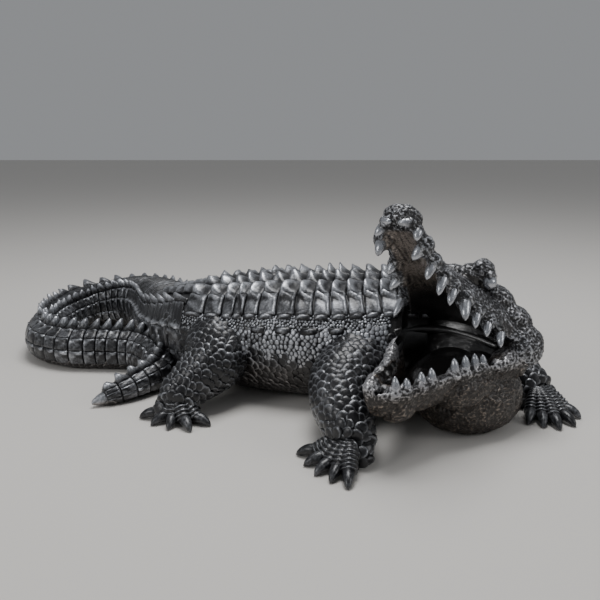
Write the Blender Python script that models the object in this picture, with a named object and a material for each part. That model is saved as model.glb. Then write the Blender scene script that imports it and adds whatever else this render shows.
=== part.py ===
"""Crocodile sculpture: one hollow-cast resin figure, antique silver over black.

The body is laid out on a plan grid: +X runs from tail to shoulders, +Y away from the side that shows
its near legs, +Z up from the ground.  The frame's origin is the middle of the figure's plan, on the
ground.  Flesh forms are lofts and balls fused by a voxel remesh, as a sculptor presses clay together.
Teeth, claws, eyes and back plates are crisp solids joined to the flesh by one Boolean, and the ground
cuts soles, belly, throat and tail flat.
"""

import math

import bmesh
import bpy
import numpy as np

# Spine from the neck to the hips: x, y, z, half width, half height.
TRUNK = [
    (0.225, 0.930, 0.100, 0.070, 0.052),
    (0.240, 0.980, 0.098, 0.078, 0.058),
    (0.212, 1.018, 0.097, 0.088, 0.070),
    (0.145, 1.027, 0.095, 0.105, 0.084),
    (0.060, 1.038, 0.087, 0.116, 0.089),
    (0.000, 1.052, 0.085, 0.118, 0.088),
    (-0.060, 1.072, 0.081, 0.114, 0.084),
]
# Spine from the hips to the tail's tip, and how far past the hips its loop reaches.
TAIL_REACH = 0.401
TAIL = [
    (-0.126, 1.095, 0.078, 0.096, 0.076),
    (-0.180, 1.142, 0.070, 0.077, 0.067),
    (-0.216, 1.197, 0.064, 0.065, 0.061),
    (-0.246, 1.256, 0.061, 0.055, 0.058),
    (-0.276, 1.315, 0.058, 0.048, 0.055),
    (-0.320, 1.367, 0.054, 0.043, 0.051),
    (-0.375, 1.392, 0.047, 0.040, 0.045),
    (-0.432, 1.378, 0.041, 0.038, 0.039),
    (-0.458, 1.320, 0.036, 0.034, 0.035),
    (-0.461, 1.250, 0.034, 0.033, 0.033),
    (-0.440, 1.175, 0.032, 0.033, 0.032),
    (-0.385, 1.135, 0.032, 0.032, 0.032),
    (-0.320, 1.128, 0.032, 0.031, 0.032),
    (-0.265, 1.118, 0.031, 0.029, 0.031),
    (-0.226, 1.080, 0.027, 0.027, 0.028),
    (-0.221, 1.030, 0.023, 0.024, 0.024),
    (-0.252, 0.980, 0.018, 0.020, 0.019),
    (-0.288, 0.950, 0.012, 0.013, 0.013),
    (-0.305, 0.938, 0.008, 0.006, 0.008),
]
SECTION_POWER = 2.3

# Legs from root to wrist: x, y, z, radius.
LEGS = {
    "near_front": [
        (0.085, 0.990, 0.064, 0.050),
        (0.075, 0.925, 0.064, 0.049),
        (0.057, 0.880, 0.062, 0.043),
        (0.052, 0.838, 0.051, 0.037),
        (0.059, 0.800, 0.036, 0.032),
        (0.060, 0.775, 0.020, 0.028),
    ],
    "near_rear": [
        (-0.120, 1.050, 0.068, 0.054),
        (-0.120, 0.995, 0.070, 0.050),
        (-0.124, 0.960, 0.064, 0.042),
        (-0.145, 0.936, 0.048, 0.034),
        (-0.163, 0.918, 0.034, 0.028),
        (-0.170, 0.903, 0.020, 0.025),
    ],
    "far_front": [
        (0.170, 1.060, 0.074, 0.056),
        (0.235, 1.100, 0.080, 0.050),
        (0.290, 1.090, 0.076, 0.043),
        (0.316, 1.030, 0.058, 0.035),
        (0.328, 0.980, 0.034, 0.029),
        (0.341, 0.950, 0.020, 0.027),
    ],
    "far_rear": [
        (-0.100, 1.130, 0.068, 0.055),
        (-0.075, 1.175, 0.068, 0.050),
        (-0.050, 1.215, 0.060, 0.042),
        (-0.068, 1.245, 0.045, 0.034),
        (-0.082, 1.265, 0.030, 0.028),
        (-0.088, 1.280, 0.020, 0.025),
    ],
}

# Claw tips of each foot on the ground: x, y.
CLAW_TIPS = {
    "near_front": [(-0.005, 0.790), (0.004, 0.760), (0.0165, 0.7355), (0.034, 0.718), (0.053, 0.703)],
    "near_rear": [(-0.222, 0.903), (-0.201, 0.877), (-0.175, 0.862), (-0.144, 0.856), (-0.120, 0.875)],
    "far_front": [(0.308, 0.880), (0.326, 0.869), (0.345, 0.861), (0.369, 0.872), (0.388, 0.900)],
    "far_rear": [(-0.150, 1.285), (-0.132, 1.312), (-0.105, 1.328), (-0.075, 1.332), (-0.050, 1.312)],
}
PALM_RADII = (0.032, 0.037, 0.019)
PALM_AHEAD = 0.012
TOE_RADIUS = 0.0112
TOE_ROOT_SHARE, KNUCKLE_SHARE = 0.3, 0.65
TOE_KNUCKLE_HEIGHT = 0.016
CLAW_LENGTH = 0.022
CLAW_RADIUS = 0.0082
CLAW_ARCH = 0.003
CLAW_TIP_HEIGHT = 0.0015

# Head: middle of the jaw hinge, turn of the snout towards the near side, pitch of each jaw.
HINGE = (0.220, 0.930, 0.105)
HEAD_TURN = math.radians(37.5)
UPPER_PITCH = math.radians(42.5)
LOWER_PITCH = math.radians(-0.5)

# Jaws along their own axis from the hinge: distance, half width, height, channel depth, rim lift.
UPPER_JAW = [
    (-0.050, 0.082, 0.050, 0.002, 0.000),
    (0.000, 0.102, 0.060, 0.006, 0.000),
    (0.035, 0.085, 0.063, 0.014, 0.000),
    (0.068, 0.068, 0.058, 0.016, 0.000),
    (0.100, 0.054, 0.047, 0.014, 0.000),
    (0.135, 0.042, 0.035, 0.012, 0.000),
    (0.170, 0.034, 0.029, 0.010, 0.000),
    (0.205, 0.029, 0.026, 0.009, 0.000),
    (0.238, 0.029, 0.028, 0.007, 0.002),
    (0.255, 0.023, 0.020, 0.005, 0.007),
    (0.266, 0.012, 0.009, 0.003, 0.010),
]
LOWER_JAW = [
    (-0.040, 0.086, 0.055, 0.004, 0.000),
    (0.000, 0.102, 0.062, 0.014, 0.000),
    (0.062, 0.075, 0.055, 0.032, -0.005),
    (0.110, 0.057, 0.049, 0.030, -0.005),
    (0.150, 0.046, 0.049, 0.027, -0.004),
    (0.180, 0.037, 0.042, 0.023, -0.004),
    (0.205, 0.030, 0.037, 0.018, -0.004),
    (0.220, 0.021, 0.031, 0.010, -0.004),
    (0.228, 0.010, 0.019, 0.004, -0.004),
]
CHANNEL_SHARE = 0.74
DOME_POWER = 0.85

# Lumps in a jaw's frame: place, then radii.  The upper ones off the middle are mirrored.
UPPER_LUMPS = [
    ((-0.014, 0.000, 0.004), (0.040, 0.084, 0.060)),
    ((0.252, 0.000, 0.021), (0.020, 0.022, 0.015)),
    ((0.070, 0.000, 0.050), (0.040, 0.036, 0.028)),
    ((0.084, 0.038, 0.062), (0.024, 0.015, 0.018)),
    ((0.030, 0.044, 0.048), (0.042, 0.030, 0.022)),
    ((0.010, 0.066, 0.034), (0.038, 0.028, 0.024)),
    ((-0.004, 0.086, 0.012), (0.034, 0.026, 0.030)),
]
LOWER_LUMPS = [
    ((0.022, 0.024, -0.062), (0.080, 0.074, 0.053)),
    ((0.047, 0.041, -0.034), (0.078, 0.038, 0.035)),
    ((0.018, 0.078, -0.005), (0.045, 0.018, 0.016)),
    ((-0.018, 0.090, -0.008), (0.018, 0.015, 0.016)),
    ((0.045, 0.010, -0.026), (0.095, 0.040, 0.026)),
]
EYE_PLACE = (0.087, 0.052, 0.048)
EYE_RADIUS = 0.009

# Teeth on a jaw: distance from the hinge, length, root radius, and for the upper ones the outward lean.
UPPER_TEETH = [
    (0.226, 0.019, 0.0084, -0.25),
    (0.194, 0.021, 0.0072, 0.00),
    (0.166, 0.024, 0.0070, 0.10),
    (0.141, 0.022, 0.0070, 0.12),
    (0.117, 0.028, 0.0086, 0.35),
    (0.090, 0.022, 0.0070, 0.20),
    (0.068, 0.020, 0.0070, 0.20),
    (0.047, 0.022, 0.0070, 0.35),
]
FAR_UPPER_TEETH = [
    (0.232, 0.022, 0.0084, -0.10),
    (0.182, 0.015, 0.0070, 0.15),
    (0.146, 0.018, 0.0076, 0.35),
    (0.096, 0.029, 0.0070, 0.10),
]
LOWER_TEETH = [
    (0.214, 0.019, 0.0064),
    (0.199, 0.014, 0.0064),
    (0.175, 0.016, 0.0068),
    (0.158, 0.017, 0.0066),
    (0.118, 0.021, 0.0070),
    (0.099, 0.021, 0.0070),
    (0.083, 0.020, 0.0068),
    (0.069, 0.016, 0.0066),
]
FRONT_TOOTH = (0.254, 0.016, 0.012)
FRONT_TOOTH_WAY = (0.4, -0.7, -0.5)
FRONT_TOOTH_LENGTH = 0.014
FRONT_TOOTH_RADIUS = 0.0075
TOOTH_INSET = 0.88
ROOT_SINK = 0.006

# Back plates: rows on the trunk as degrees from the top and height, then the tail's crests.
PLATE_PITCH = 0.0225
PLATE_LENGTH_SHARE = 0.92
PLATE_PEAK_SHARE = 0.28
PLATE_SINK = 0.005
TRUNK_ROWS = [(9, 0.0125), (27, 0.0110), (46, 0.0085)]
TRUNK_PLATE_WIDTH = 0.017
TRUNK_FROM = 0.10
TRUNK_TO = 0.45
FORK_TO = 1.16
FORK_CLOSES_OVER = 0.25
FORK_DEGREES = 38
FORKED_CREST_HEIGHT = 0.015
SINGLE_CREST_HEIGHT = 0.019
CREST_UPRIGHT = 0.8
CREST_WIDTH = 0.012
END_RUN = 0.25
TIP_BARE = 0.02

VOXEL = 0.004
FLESH_FACES = 4300
MERGE_DISTANCE = 0.00005

SILVER = (0.30, 0.31, 0.33, 1.0)
SILVER_ROUGHNESS = 0.42
SILVER_METALLIC = 0.75

UP = np.array([0.0, 0.0, 1.0])


def smooth_path(rows, step):
    """Rows of numbers along a Catmull-Rom curve, about one every step of its first three."""
    rows = np.array(rows, float)
    ends = np.vstack([2 * rows[0] - rows[1], rows, 2 * rows[-1] - rows[-2]])
    found = []
    for i in range(1, len(ends) - 2):
        before, start, end, after = ends[i - 1 : i + 3]
        count = max(2, int(np.linalg.norm((end - start)[:3]) / step))
        linear = end - before
        square = 2 * before - 5 * start + 4 * end - after
        cubic = 3 * start - before - 3 * end + after
        for t in np.arange(count) / count:
            found.append(start + 0.5 * (linear * t + square * t**2 + cubic * t**3))
    found.append(rows[-1])
    return np.array(found)


def reach_out(rows, start, reach):
    """Spread the rows' places on the floor out from a start, so that they reach so far past it along x."""
    grow = reach / (start[0] - min(row[0] for row in rows))
    return [(*(a + (b - a) * grow for a, b in zip(start[:2], row[:2])), *row[2:]) for row in rows]


def unit(v):
    return v / np.linalg.norm(v, axis=-1, keepdims=True)


def frames(points, reference):
    """Side and up along a path, with side square to the reference."""
    tangent = unit(np.gradient(points, axis=0))
    side = unit(np.cross(tangent, reference))
    return side, np.cross(side, tangent)


def superellipse(angle):
    """Unit outline point: angle 0 is the top, and it grows towards the side."""
    s, c = np.sin(angle), np.cos(angle)
    return np.sign(s) * abs(s) ** (2 / SECTION_POWER), np.sign(c) * abs(c) ** (2 / SECTION_POWER)


def add_loft(mesh, rings):
    """Closed skin over rings of points, with a fan at each end."""
    loops = [[mesh.verts.new(p) for p in ring] for ring in rings]
    count = len(loops[0])
    for one, two in zip(loops, loops[1:]):
        for i in range(count):
            j = (i + 1) % count
            mesh.faces.new((one[i], one[j], two[j], two[i]))
    for loop, ring in ((loops[0][::-1], rings[0]), (loops[-1], rings[-1])):
        middle = mesh.verts.new(np.mean(ring, axis=0))
        for i in range(count):
            mesh.faces.new((loop[i], loop[(i + 1) % count], middle))


def add_ball(mesh, centre, radii, axes, rings=10, sides=16):
    """Ellipsoid on its own axes."""
    turn = np.arange(sides) * 2 * math.pi / sides
    pole = math.pi / (rings + 1) / 2
    loops = []
    for polar in np.linspace(pole, math.pi - pole, rings):
        ring = np.stack([np.cos(turn), np.sin(turn), np.zeros(sides)], 1) * np.sin(polar)
        ring[:, 2] = np.cos(polar)
        loops.append(np.array(centre) + (ring * radii) @ np.array(axes))
    add_loft(mesh, loops)


def add_horn(mesh, root, tip, radius, arch=0.0, sides=6):
    """Pointed cone, swollen below its point and arched upwards by a little."""
    root, tip = np.array(root), np.array(tip)
    axis = unit(tip - root)
    across = unit(np.cross(axis, (0.31, 0.17, 0.93)))
    other = np.cross(axis, across)
    turn = np.arange(sides) * 2 * math.pi / sides
    round_loop = np.outer(np.cos(turn), across) + np.outer(np.sin(turn), other)
    middle = (root + tip) / 2 + UP * arch
    low = [mesh.verts.new(p) for p in root + radius * round_loop]
    high = [mesh.verts.new(p) for p in middle + 0.8 * radius * round_loop]
    point = mesh.verts.new(tip)
    mesh.faces.new(low[::-1])
    for i in range(sides):
        j = (i + 1) % sides
        mesh.faces.new((low[i], low[j], high[j], high[i]))
        mesh.faces.new((high[i], high[j], point))


def add_plate(mesh, place, width, height):
    """Keeled plate: a low pyramid whose peak leans to the rear."""
    centre, along, across, out = place
    length = PLATE_PITCH * PLATE_LENGTH_SHARE
    corners = []
    for a, b in ((-0.5, -0.5), (0.5, -0.5), (0.5, 0.5), (-0.5, 0.5)):
        corner = centre + along * length * a + across * width * b - out * PLATE_SINK
        corners.append(mesh.verts.new(corner))
    peak = mesh.verts.new(centre + along * length * PLATE_PEAK_SHARE + out * height)
    mesh.faces.new(corners[::-1])
    for i in range(4):
        mesh.faces.new((corners[i], corners[(i + 1) % 4], peak))


def spine_rings(path, sides=28):
    x, z = superellipse(np.arange(sides) * 2 * math.pi / sides)
    side, up = frames(path[:, :3], UP)
    return [
        p[:3] + np.outer(x * p[3], s) + np.outer(z * p[4], u)
        for p, s, u in zip(path, side, up)
    ]


def leg_rings(path, sides=16):
    angle = np.arange(sides) * 2 * math.pi / sides
    side, up = frames(path[:, :3], (0.2, 0.3, 1.0))
    return [
        p[:3] + p[3] * (np.outer(np.sin(angle), s) + np.outer(np.cos(angle), u))
        for p, s, u in zip(path, side, up)
    ]


def run_along(path):
    """Distance from the neck at each point of the spine."""
    steps = np.linalg.norm(np.diff(path[:, :3], axis=0), axis=1)
    return np.concatenate([[0], np.cumsum(steps)])


def on_spine(path, at, degrees):
    """Place on the back: point, then its along, across and outward axes."""
    run = run_along(path)
    row = np.array([np.interp(at, run, path[:, i]) for i in range(5)])
    near = min(run[-1] - at, VOXEL)
    ahead = np.array([np.interp(at + near, run, path[:, i]) for i in range(3)])
    behind = np.array([np.interp(at - near, run, path[:, i]) for i in range(3)])
    along = unit(ahead - behind)
    side = unit(np.cross(along, UP))
    up = np.cross(side, along)
    angle = math.radians(degrees)
    x, z = superellipse(angle)
    point = row[:3] + side * x * row[3] + up * z * row[4]
    out = unit(side * math.sin(angle) * row[4] + up * math.cos(angle) * row[3])
    return point, along, np.cross(along, out), out


def head_axes(pitch):
    """Forward, left and up of one jaw."""
    level = np.array([-math.sin(HEAD_TURN), -math.cos(HEAD_TURN), 0.0])
    left = np.array([math.cos(HEAD_TURN), -math.sin(HEAD_TURN), 0.0])
    forward = math.cos(pitch) * level + math.sin(pitch) * UP
    return forward, left, math.cos(pitch) * UP - math.sin(pitch) * level


def in_jaw(pitch, place):
    return np.array(HINGE) + np.array(place) @ np.array(head_axes(pitch))


def jaw_rings(rows, pitch, outward):
    """Rings of a jaw: a dome on the outer side and a channel on the mouth's side."""
    _, left, up = head_axes(pitch)
    dome = np.linspace(math.pi, 0, 17)
    across = np.linspace(1, -1, 9)
    hollow = np.sqrt(1 - across**2)
    rings = []
    for along, _, _, width, height, channel, lift in smooth_path([(r[0], 0, 0, *r[1:]) for r in rows], 0.006):
        x = np.concatenate([np.cos(dome), across * CHANNEL_SHARE]) * width
        z = np.concatenate([np.sin(dome) ** DOME_POWER * height, channel * hollow]) * outward + lift
        rings.append(in_jaw(pitch, (along, 0, 0)) + np.outer(x, left) + np.outer(z, up))
    return rings


def rim_point(rows, pitch, along, side):
    table = np.array(rows)
    width = np.interp(along, table[:, 0], table[:, 1])
    lift = np.interp(along, table[:, 0], table[:, 4])
    return in_jaw(pitch, (along, side * width * TOOTH_INSET, lift))


def add_foot(flesh, crisp, name):
    """Palm, toes and claws between the wrist and the claw tips."""
    wrist = np.array(LEGS[name][-1][:3])
    tips = np.array([(*tip, CLAW_TIP_HEIGHT) for tip in CLAW_TIPS[name]])
    toward = unit((tips.mean(axis=0) - wrist) * (1, 1, 0))
    palm = wrist + toward * PALM_AHEAD
    palm[2] = PALM_RADII[2] * 0.85
    add_ball(flesh, palm, PALM_RADII, (toward, np.cross(UP, toward), UP))
    for tip in tips:
        reach = unit((tip - wrist) * (1, 1, 0))
        end = tip - reach * CLAW_LENGTH
        end[2] = TOE_RADIUS * 0.8
        knuckle = wrist * (1 - KNUCKLE_SHARE) + end * KNUCKLE_SHARE
        knuckle[2] = TOE_KNUCKLE_HEIGHT
        toe = [
            (*(wrist * (1 - TOE_ROOT_SHARE) + end * TOE_ROOT_SHARE), TOE_RADIUS * 1.15),
            (*knuckle, TOE_RADIUS * 1.1),
            (*end, TOE_RADIUS),
        ]
        add_loft(flesh, leg_rings(smooth_path(toe, VOXEL), 10))
        add_horn(crisp, end - reach * ROOT_SINK, tip, CLAW_RADIUS, CLAW_ARCH)


def add_head(flesh, crisp):
    """Two open jaws with their lumps, eyes and teeth."""
    upper, lower = head_axes(UPPER_PITCH), head_axes(LOWER_PITCH)
    add_loft(flesh, jaw_rings(UPPER_JAW, UPPER_PITCH, 1))
    add_loft(flesh, jaw_rings(LOWER_JAW, LOWER_PITCH, -1))
    for place, radii in LOWER_LUMPS:
        add_ball(flesh, in_jaw(LOWER_PITCH, place), radii, lower)
    for place, radii in UPPER_LUMPS:
        for side in (-1, 1) if place[1] else (1,):
            add_ball(flesh, in_jaw(UPPER_PITCH, np.multiply(place, (1, side, 1))), radii, upper)
    for side in (-1, 1):
        mirror = (1, side, 1)
        eye = in_jaw(UPPER_PITCH, np.multiply(EYE_PLACE, mirror))
        add_ball(crisp, eye, [EYE_RADIUS] * 3, upper, 5, 8)
        for along, length, radius, lean in UPPER_TEETH if side > 0 else FAR_UPPER_TEETH:
            root = rim_point(UPPER_JAW, UPPER_PITCH, along, side) + upper[2] * ROOT_SINK
            way = unit(upper[1] * side * lean - upper[2])
            add_horn(crisp, root, root + way * (length + ROOT_SINK), radius)
        root = in_jaw(UPPER_PITCH, np.multiply(FRONT_TOOTH, mirror))
        way = unit(np.multiply(FRONT_TOOTH_WAY, mirror) @ upper)
        add_horn(crisp, root, root + way * (FRONT_TOOTH_LENGTH + ROOT_SINK), FRONT_TOOTH_RADIUS)
    for along, length, radius in LOWER_TEETH:
        root = rim_point(LOWER_JAW, LOWER_PITCH, along, 1) - lower[2] * ROOT_SINK
        add_horn(crisp, root, root + lower[2] * (length + ROOT_SINK), radius)


def add_back_plates(crisp, spine):
    """Six rows over the trunk, two crests on the tail that close into one."""
    total = run_along(spine)[-1]
    at = TRUNK_FROM
    while at < total - TIP_BARE:
        if at < TRUNK_TO:
            for degrees, height in TRUNK_ROWS:
                for side in (-1, 1):
                    add_plate(crisp, on_spine(spine, at, side * degrees), TRUNK_PLATE_WIDTH, height)
        else:
            spread = FORK_DEGREES * min(1, (FORK_TO - at) / FORK_CLOSES_OVER)
            height = np.interp(at, [FORK_TO - FORK_CLOSES_OVER, FORK_TO], [FORKED_CREST_HEIGHT, SINGLE_CREST_HEIGHT])
            height *= np.interp(at, [total - END_RUN, total], [1, 0.3])
            left, right = on_spine(spine, at, spread), on_spine(spine, at, -spread)
            two = spread > 0 and np.linalg.norm(left[0] - right[0]) > CREST_WIDTH
            for place in (left, right) if two else (on_spine(spine, at, 0),):
                point, along, across, out = place
                add_plate(crisp, (point, along, across, unit(out + UP * CREST_UPRIGHT)), CREST_WIDTH, height)
        at += PLATE_PITCH * np.interp(at, [TRUNK_TO, total - END_RUN, total], [1, 0.86, 0.7])


def new_object(name, mesh):
    bmesh.ops.recalc_face_normals(mesh, faces=mesh.faces)
    data = bpy.data.meshes.new(name)
    mesh.to_mesh(data)
    mesh.free()
    made = bpy.data.objects.new(name, data)
    bpy.context.scene.collection.objects.link(made)
    return made


def apply_modifiers(thing):
    """Replace a thing's mesh by what its modifiers make of it."""
    graph = bpy.context.evaluated_depsgraph_get()
    made = bpy.data.meshes.new_from_object(thing.evaluated_get(graph))
    thing.modifiers.clear()
    thing.data = made


def fuse_flesh(thing):
    """One skin over all the flesh forms, softened and thinned."""
    fuse = thing.modifiers.new("Fuse", "REMESH")
    fuse.mode = "VOXEL"
    fuse.voxel_size = VOXEL
    soften = thing.modifiers.new("Soften", "SMOOTH")
    soften.factor = 0.5
    soften.iterations = 3
    apply_modifiers(thing)
    triangles = sum(len(face.vertices) - 2 for face in thing.data.polygons)
    thin = thing.modifiers.new("Thin", "DECIMATE")
    thin.ratio = FLESH_FACES / triangles
    apply_modifiers(thing)


def join_crisp(thing, crisp):
    join = thing.modifiers.new("Join", "BOOLEAN")
    join.operation = "UNION"
    join.solver = "EXACT"
    join.use_self = True
    join.object = crisp
    apply_modifiers(thing)
    bpy.data.objects.remove(crisp)


def finish_mesh(thing):
    """Cut the soles flat on the ground and centre the plan."""
    mesh = bmesh.new()
    mesh.from_mesh(thing.data)
    everything = mesh.verts[:] + mesh.edges[:] + mesh.faces[:]
    cut = bmesh.ops.bisect_plane(mesh, geom=everything, plane_co=(0, 0, 0), plane_no=-UP, clear_outer=True)
    edges = [item for item in cut["geom_cut"] if isinstance(item, bmesh.types.BMEdge)]
    bmesh.ops.holes_fill(mesh, edges=edges, sides=0)
    bmesh.ops.triangulate(mesh, faces=mesh.faces)
    low = np.min([v.co for v in mesh.verts], axis=0)
    high = np.max([v.co for v in mesh.verts], axis=0)
    middle = (low + high) / 2
    bmesh.ops.translate(mesh, vec=(-middle[0], -middle[1], -low[2]), verts=mesh.verts)
    bmesh.ops.remove_doubles(mesh, verts=mesh.verts, dist=MERGE_DISTANCE)
    bmesh.ops.dissolve_degenerate(mesh, edges=mesh.edges, dist=MERGE_DISTANCE)
    bmesh.ops.triangulate(mesh, faces=mesh.faces)
    bmesh.ops.recalc_face_normals(mesh, faces=mesh.faces)
    mesh.to_mesh(thing.data)
    mesh.free()


def paint(thing):
    """Silver brushed over black."""
    made = bpy.data.materials.new("antique_silver")
    made.use_nodes = True
    shader = made.node_tree.nodes["Principled BSDF"]
    shader.inputs["Base Color"].default_value = SILVER
    shader.inputs["Roughness"].default_value = SILVER_ROUGHNESS
    shader.inputs["Metallic"].default_value = SILVER_METALLIC
    thing.data.materials.clear()
    thing.data.materials.append(made)


def main():
    for old in list(bpy.data.objects):
        bpy.data.objects.remove(old)
    flesh, crisp = bmesh.new(), bmesh.new()
    spine = smooth_path(TRUNK + reach_out(TAIL, TRUNK[-1], TAIL_REACH), 2 * VOXEL)
    add_loft(flesh, spine_rings(spine))
    for name, rows in LEGS.items():
        add_loft(flesh, leg_rings(smooth_path(rows, 1.5 * VOXEL)))
        add_foot(flesh, crisp, name)
    add_head(flesh, crisp)
    add_back_plates(crisp, spine)
    figure = new_object("crocodile", flesh)
    fuse_flesh(figure)
    join_crisp(figure, new_object("crisp", crisp))
    finish_mesh(figure)
    paint(figure)


main()
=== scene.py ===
# %% [markdown]
# # A crocodile in antique silver
#
# The figure is one hollow casting about 88 cm long, painted black and then brushed with silver so that
# only the high points shine.  It lies flat on its belly, looks towards its near side with its jaws wide
# open, and its tail swings away and curls back in front of itself.
#
# The hide is what makes it: keeled plates along the back, rows of shields round the tail, broad scales
# on the legs, beads on the flank and bark-like wrinkles on the head.  Each of them gets its own step.

# %% Open the frame
import math

import bmesh
import bpy
import numpy as np
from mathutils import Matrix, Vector, noise


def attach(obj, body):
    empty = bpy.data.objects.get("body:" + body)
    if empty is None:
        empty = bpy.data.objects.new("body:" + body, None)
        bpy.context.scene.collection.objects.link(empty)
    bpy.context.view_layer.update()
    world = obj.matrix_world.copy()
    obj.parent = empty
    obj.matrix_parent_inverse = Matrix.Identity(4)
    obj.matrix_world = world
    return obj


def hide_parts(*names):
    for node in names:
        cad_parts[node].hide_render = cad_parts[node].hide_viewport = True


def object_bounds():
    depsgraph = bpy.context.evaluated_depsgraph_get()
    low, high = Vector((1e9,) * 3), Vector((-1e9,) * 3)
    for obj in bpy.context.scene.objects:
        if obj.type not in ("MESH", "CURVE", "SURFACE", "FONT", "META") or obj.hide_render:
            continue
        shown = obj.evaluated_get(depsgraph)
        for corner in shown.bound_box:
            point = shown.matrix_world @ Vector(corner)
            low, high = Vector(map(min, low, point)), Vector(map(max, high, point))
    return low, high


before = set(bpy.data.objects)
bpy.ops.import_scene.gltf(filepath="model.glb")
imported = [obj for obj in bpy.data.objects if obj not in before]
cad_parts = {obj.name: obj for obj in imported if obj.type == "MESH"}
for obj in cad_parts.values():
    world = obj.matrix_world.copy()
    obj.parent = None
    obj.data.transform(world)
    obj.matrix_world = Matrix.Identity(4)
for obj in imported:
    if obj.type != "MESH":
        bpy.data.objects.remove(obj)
box_low, box_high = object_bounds()
ROOM_GAP = 0.0002
BOX_LOW = np.array(box_low) + ROOM_GAP
BOX_HIGH = np.array(box_high) - ROOM_GAP
BOX_LOW[2] = 0.0
print("room for the figure, mm:", np.round((BOX_HIGH - BOX_LOW) * 1000, 1))

# %% [markdown]
# ## The measurements of the figure
#
# Everything is laid out on a plan grid, as a sculptor would chalk it on the bench: where the spine runs,
# where each leg bends, where every claw touches the ground.  A row is one station, so moving one number
# moves one place of the animal.  The figure could be pushed about as a mesh instead, but then the plates,
# the scales and the skin under them would have no common measure to follow.

# %% Stations of the spine, the legs and the jaws
MIDDLE = np.array([-0.0540035, 1.0675586, 0.0])
UP = np.array([0.0, 0.0, 1.0])

# Neck to tail tip: x, y, z, half width, half height.
SPINE = [
    (0.225, 0.930, 0.100, 0.070, 0.052),
    (0.240, 0.980, 0.098, 0.078, 0.058),
    (0.212, 1.018, 0.097, 0.088, 0.070),
    (0.145, 1.027, 0.095, 0.105, 0.084),
    (0.060, 1.038, 0.087, 0.116, 0.089),
    (0.000, 1.052, 0.085, 0.118, 0.088),
    (-0.060, 1.072, 0.081, 0.114, 0.084),
    (-0.126, 1.095, 0.078, 0.096, 0.076),
    (-0.180, 1.142, 0.070, 0.077, 0.067),
    (-0.216, 1.197, 0.064, 0.065, 0.061),
    (-0.246, 1.256, 0.061, 0.055, 0.058),
    (-0.276, 1.315, 0.058, 0.048, 0.055),
    (-0.320, 1.367, 0.054, 0.043, 0.051),
    (-0.375, 1.392, 0.047, 0.040, 0.045),
    (-0.432, 1.378, 0.041, 0.038, 0.039),
    (-0.458, 1.320, 0.036, 0.034, 0.035),
    (-0.461, 1.250, 0.034, 0.033, 0.033),
    (-0.440, 1.175, 0.032, 0.033, 0.032),
    (-0.385, 1.135, 0.032, 0.032, 0.032),
    (-0.320, 1.128, 0.032, 0.031, 0.032),
    (-0.265, 1.118, 0.031, 0.029, 0.031),
    (-0.226, 1.080, 0.027, 0.027, 0.028),
    (-0.221, 1.030, 0.023, 0.024, 0.024),
    (-0.252, 0.980, 0.018, 0.018, 0.018),
    (-0.288, 0.950, 0.010, 0.010, 0.010),
    (-0.305, 0.938, 0.006, 0.004, 0.005),
]
SECTION_POWER = 2.3

# Root to wrist: x, y, z, radius.
LEGS = {
    "near_front": [
        (0.085, 0.990, 0.064, 0.050),
        (0.075, 0.925, 0.064, 0.049),
        (0.057, 0.880, 0.062, 0.043),
        (0.052, 0.838, 0.051, 0.037),
        (0.059, 0.800, 0.036, 0.032),
        (0.060, 0.775, 0.020, 0.028),
    ],
    "near_rear": [
        (-0.120, 1.050, 0.068, 0.054),
        (-0.120, 0.995, 0.070, 0.050),
        (-0.124, 0.960, 0.064, 0.042),
        (-0.145, 0.936, 0.048, 0.034),
        (-0.163, 0.918, 0.034, 0.028),
        (-0.170, 0.903, 0.020, 0.025),
    ],
    "far_front": [
        (0.170, 1.060, 0.074, 0.056),
        (0.235, 1.100, 0.080, 0.050),
        (0.290, 1.090, 0.076, 0.043),
        (0.316, 1.030, 0.058, 0.035),
        (0.328, 0.980, 0.034, 0.029),
        (0.341, 0.950, 0.020, 0.027),
    ],
    "far_rear": [
        (-0.100, 1.130, 0.068, 0.055),
        (-0.075, 1.175, 0.068, 0.050),
        (-0.050, 1.215, 0.060, 0.042),
        (-0.068, 1.245, 0.045, 0.034),
        (-0.082, 1.265, 0.030, 0.028),
        (-0.088, 1.280, 0.020, 0.025),
    ],
}

# Where the claws of each foot touch the ground: x, y.
CLAW_TIPS = {
    "near_front": [(-0.005, 0.790), (0.004, 0.760), (0.0165, 0.7355), (0.034, 0.718), (0.053, 0.703)],
    "near_rear": [(-0.222, 0.903), (-0.201, 0.877), (-0.175, 0.862), (-0.144, 0.856), (-0.120, 0.875)],
    "far_front": [(0.308, 0.880), (0.326, 0.869), (0.345, 0.861), (0.369, 0.872), (0.388, 0.900)],
    "far_rear": [(-0.150, 1.285), (-0.132, 1.312), (-0.105, 1.328), (-0.075, 1.332), (-0.050, 1.312)],
}

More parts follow.
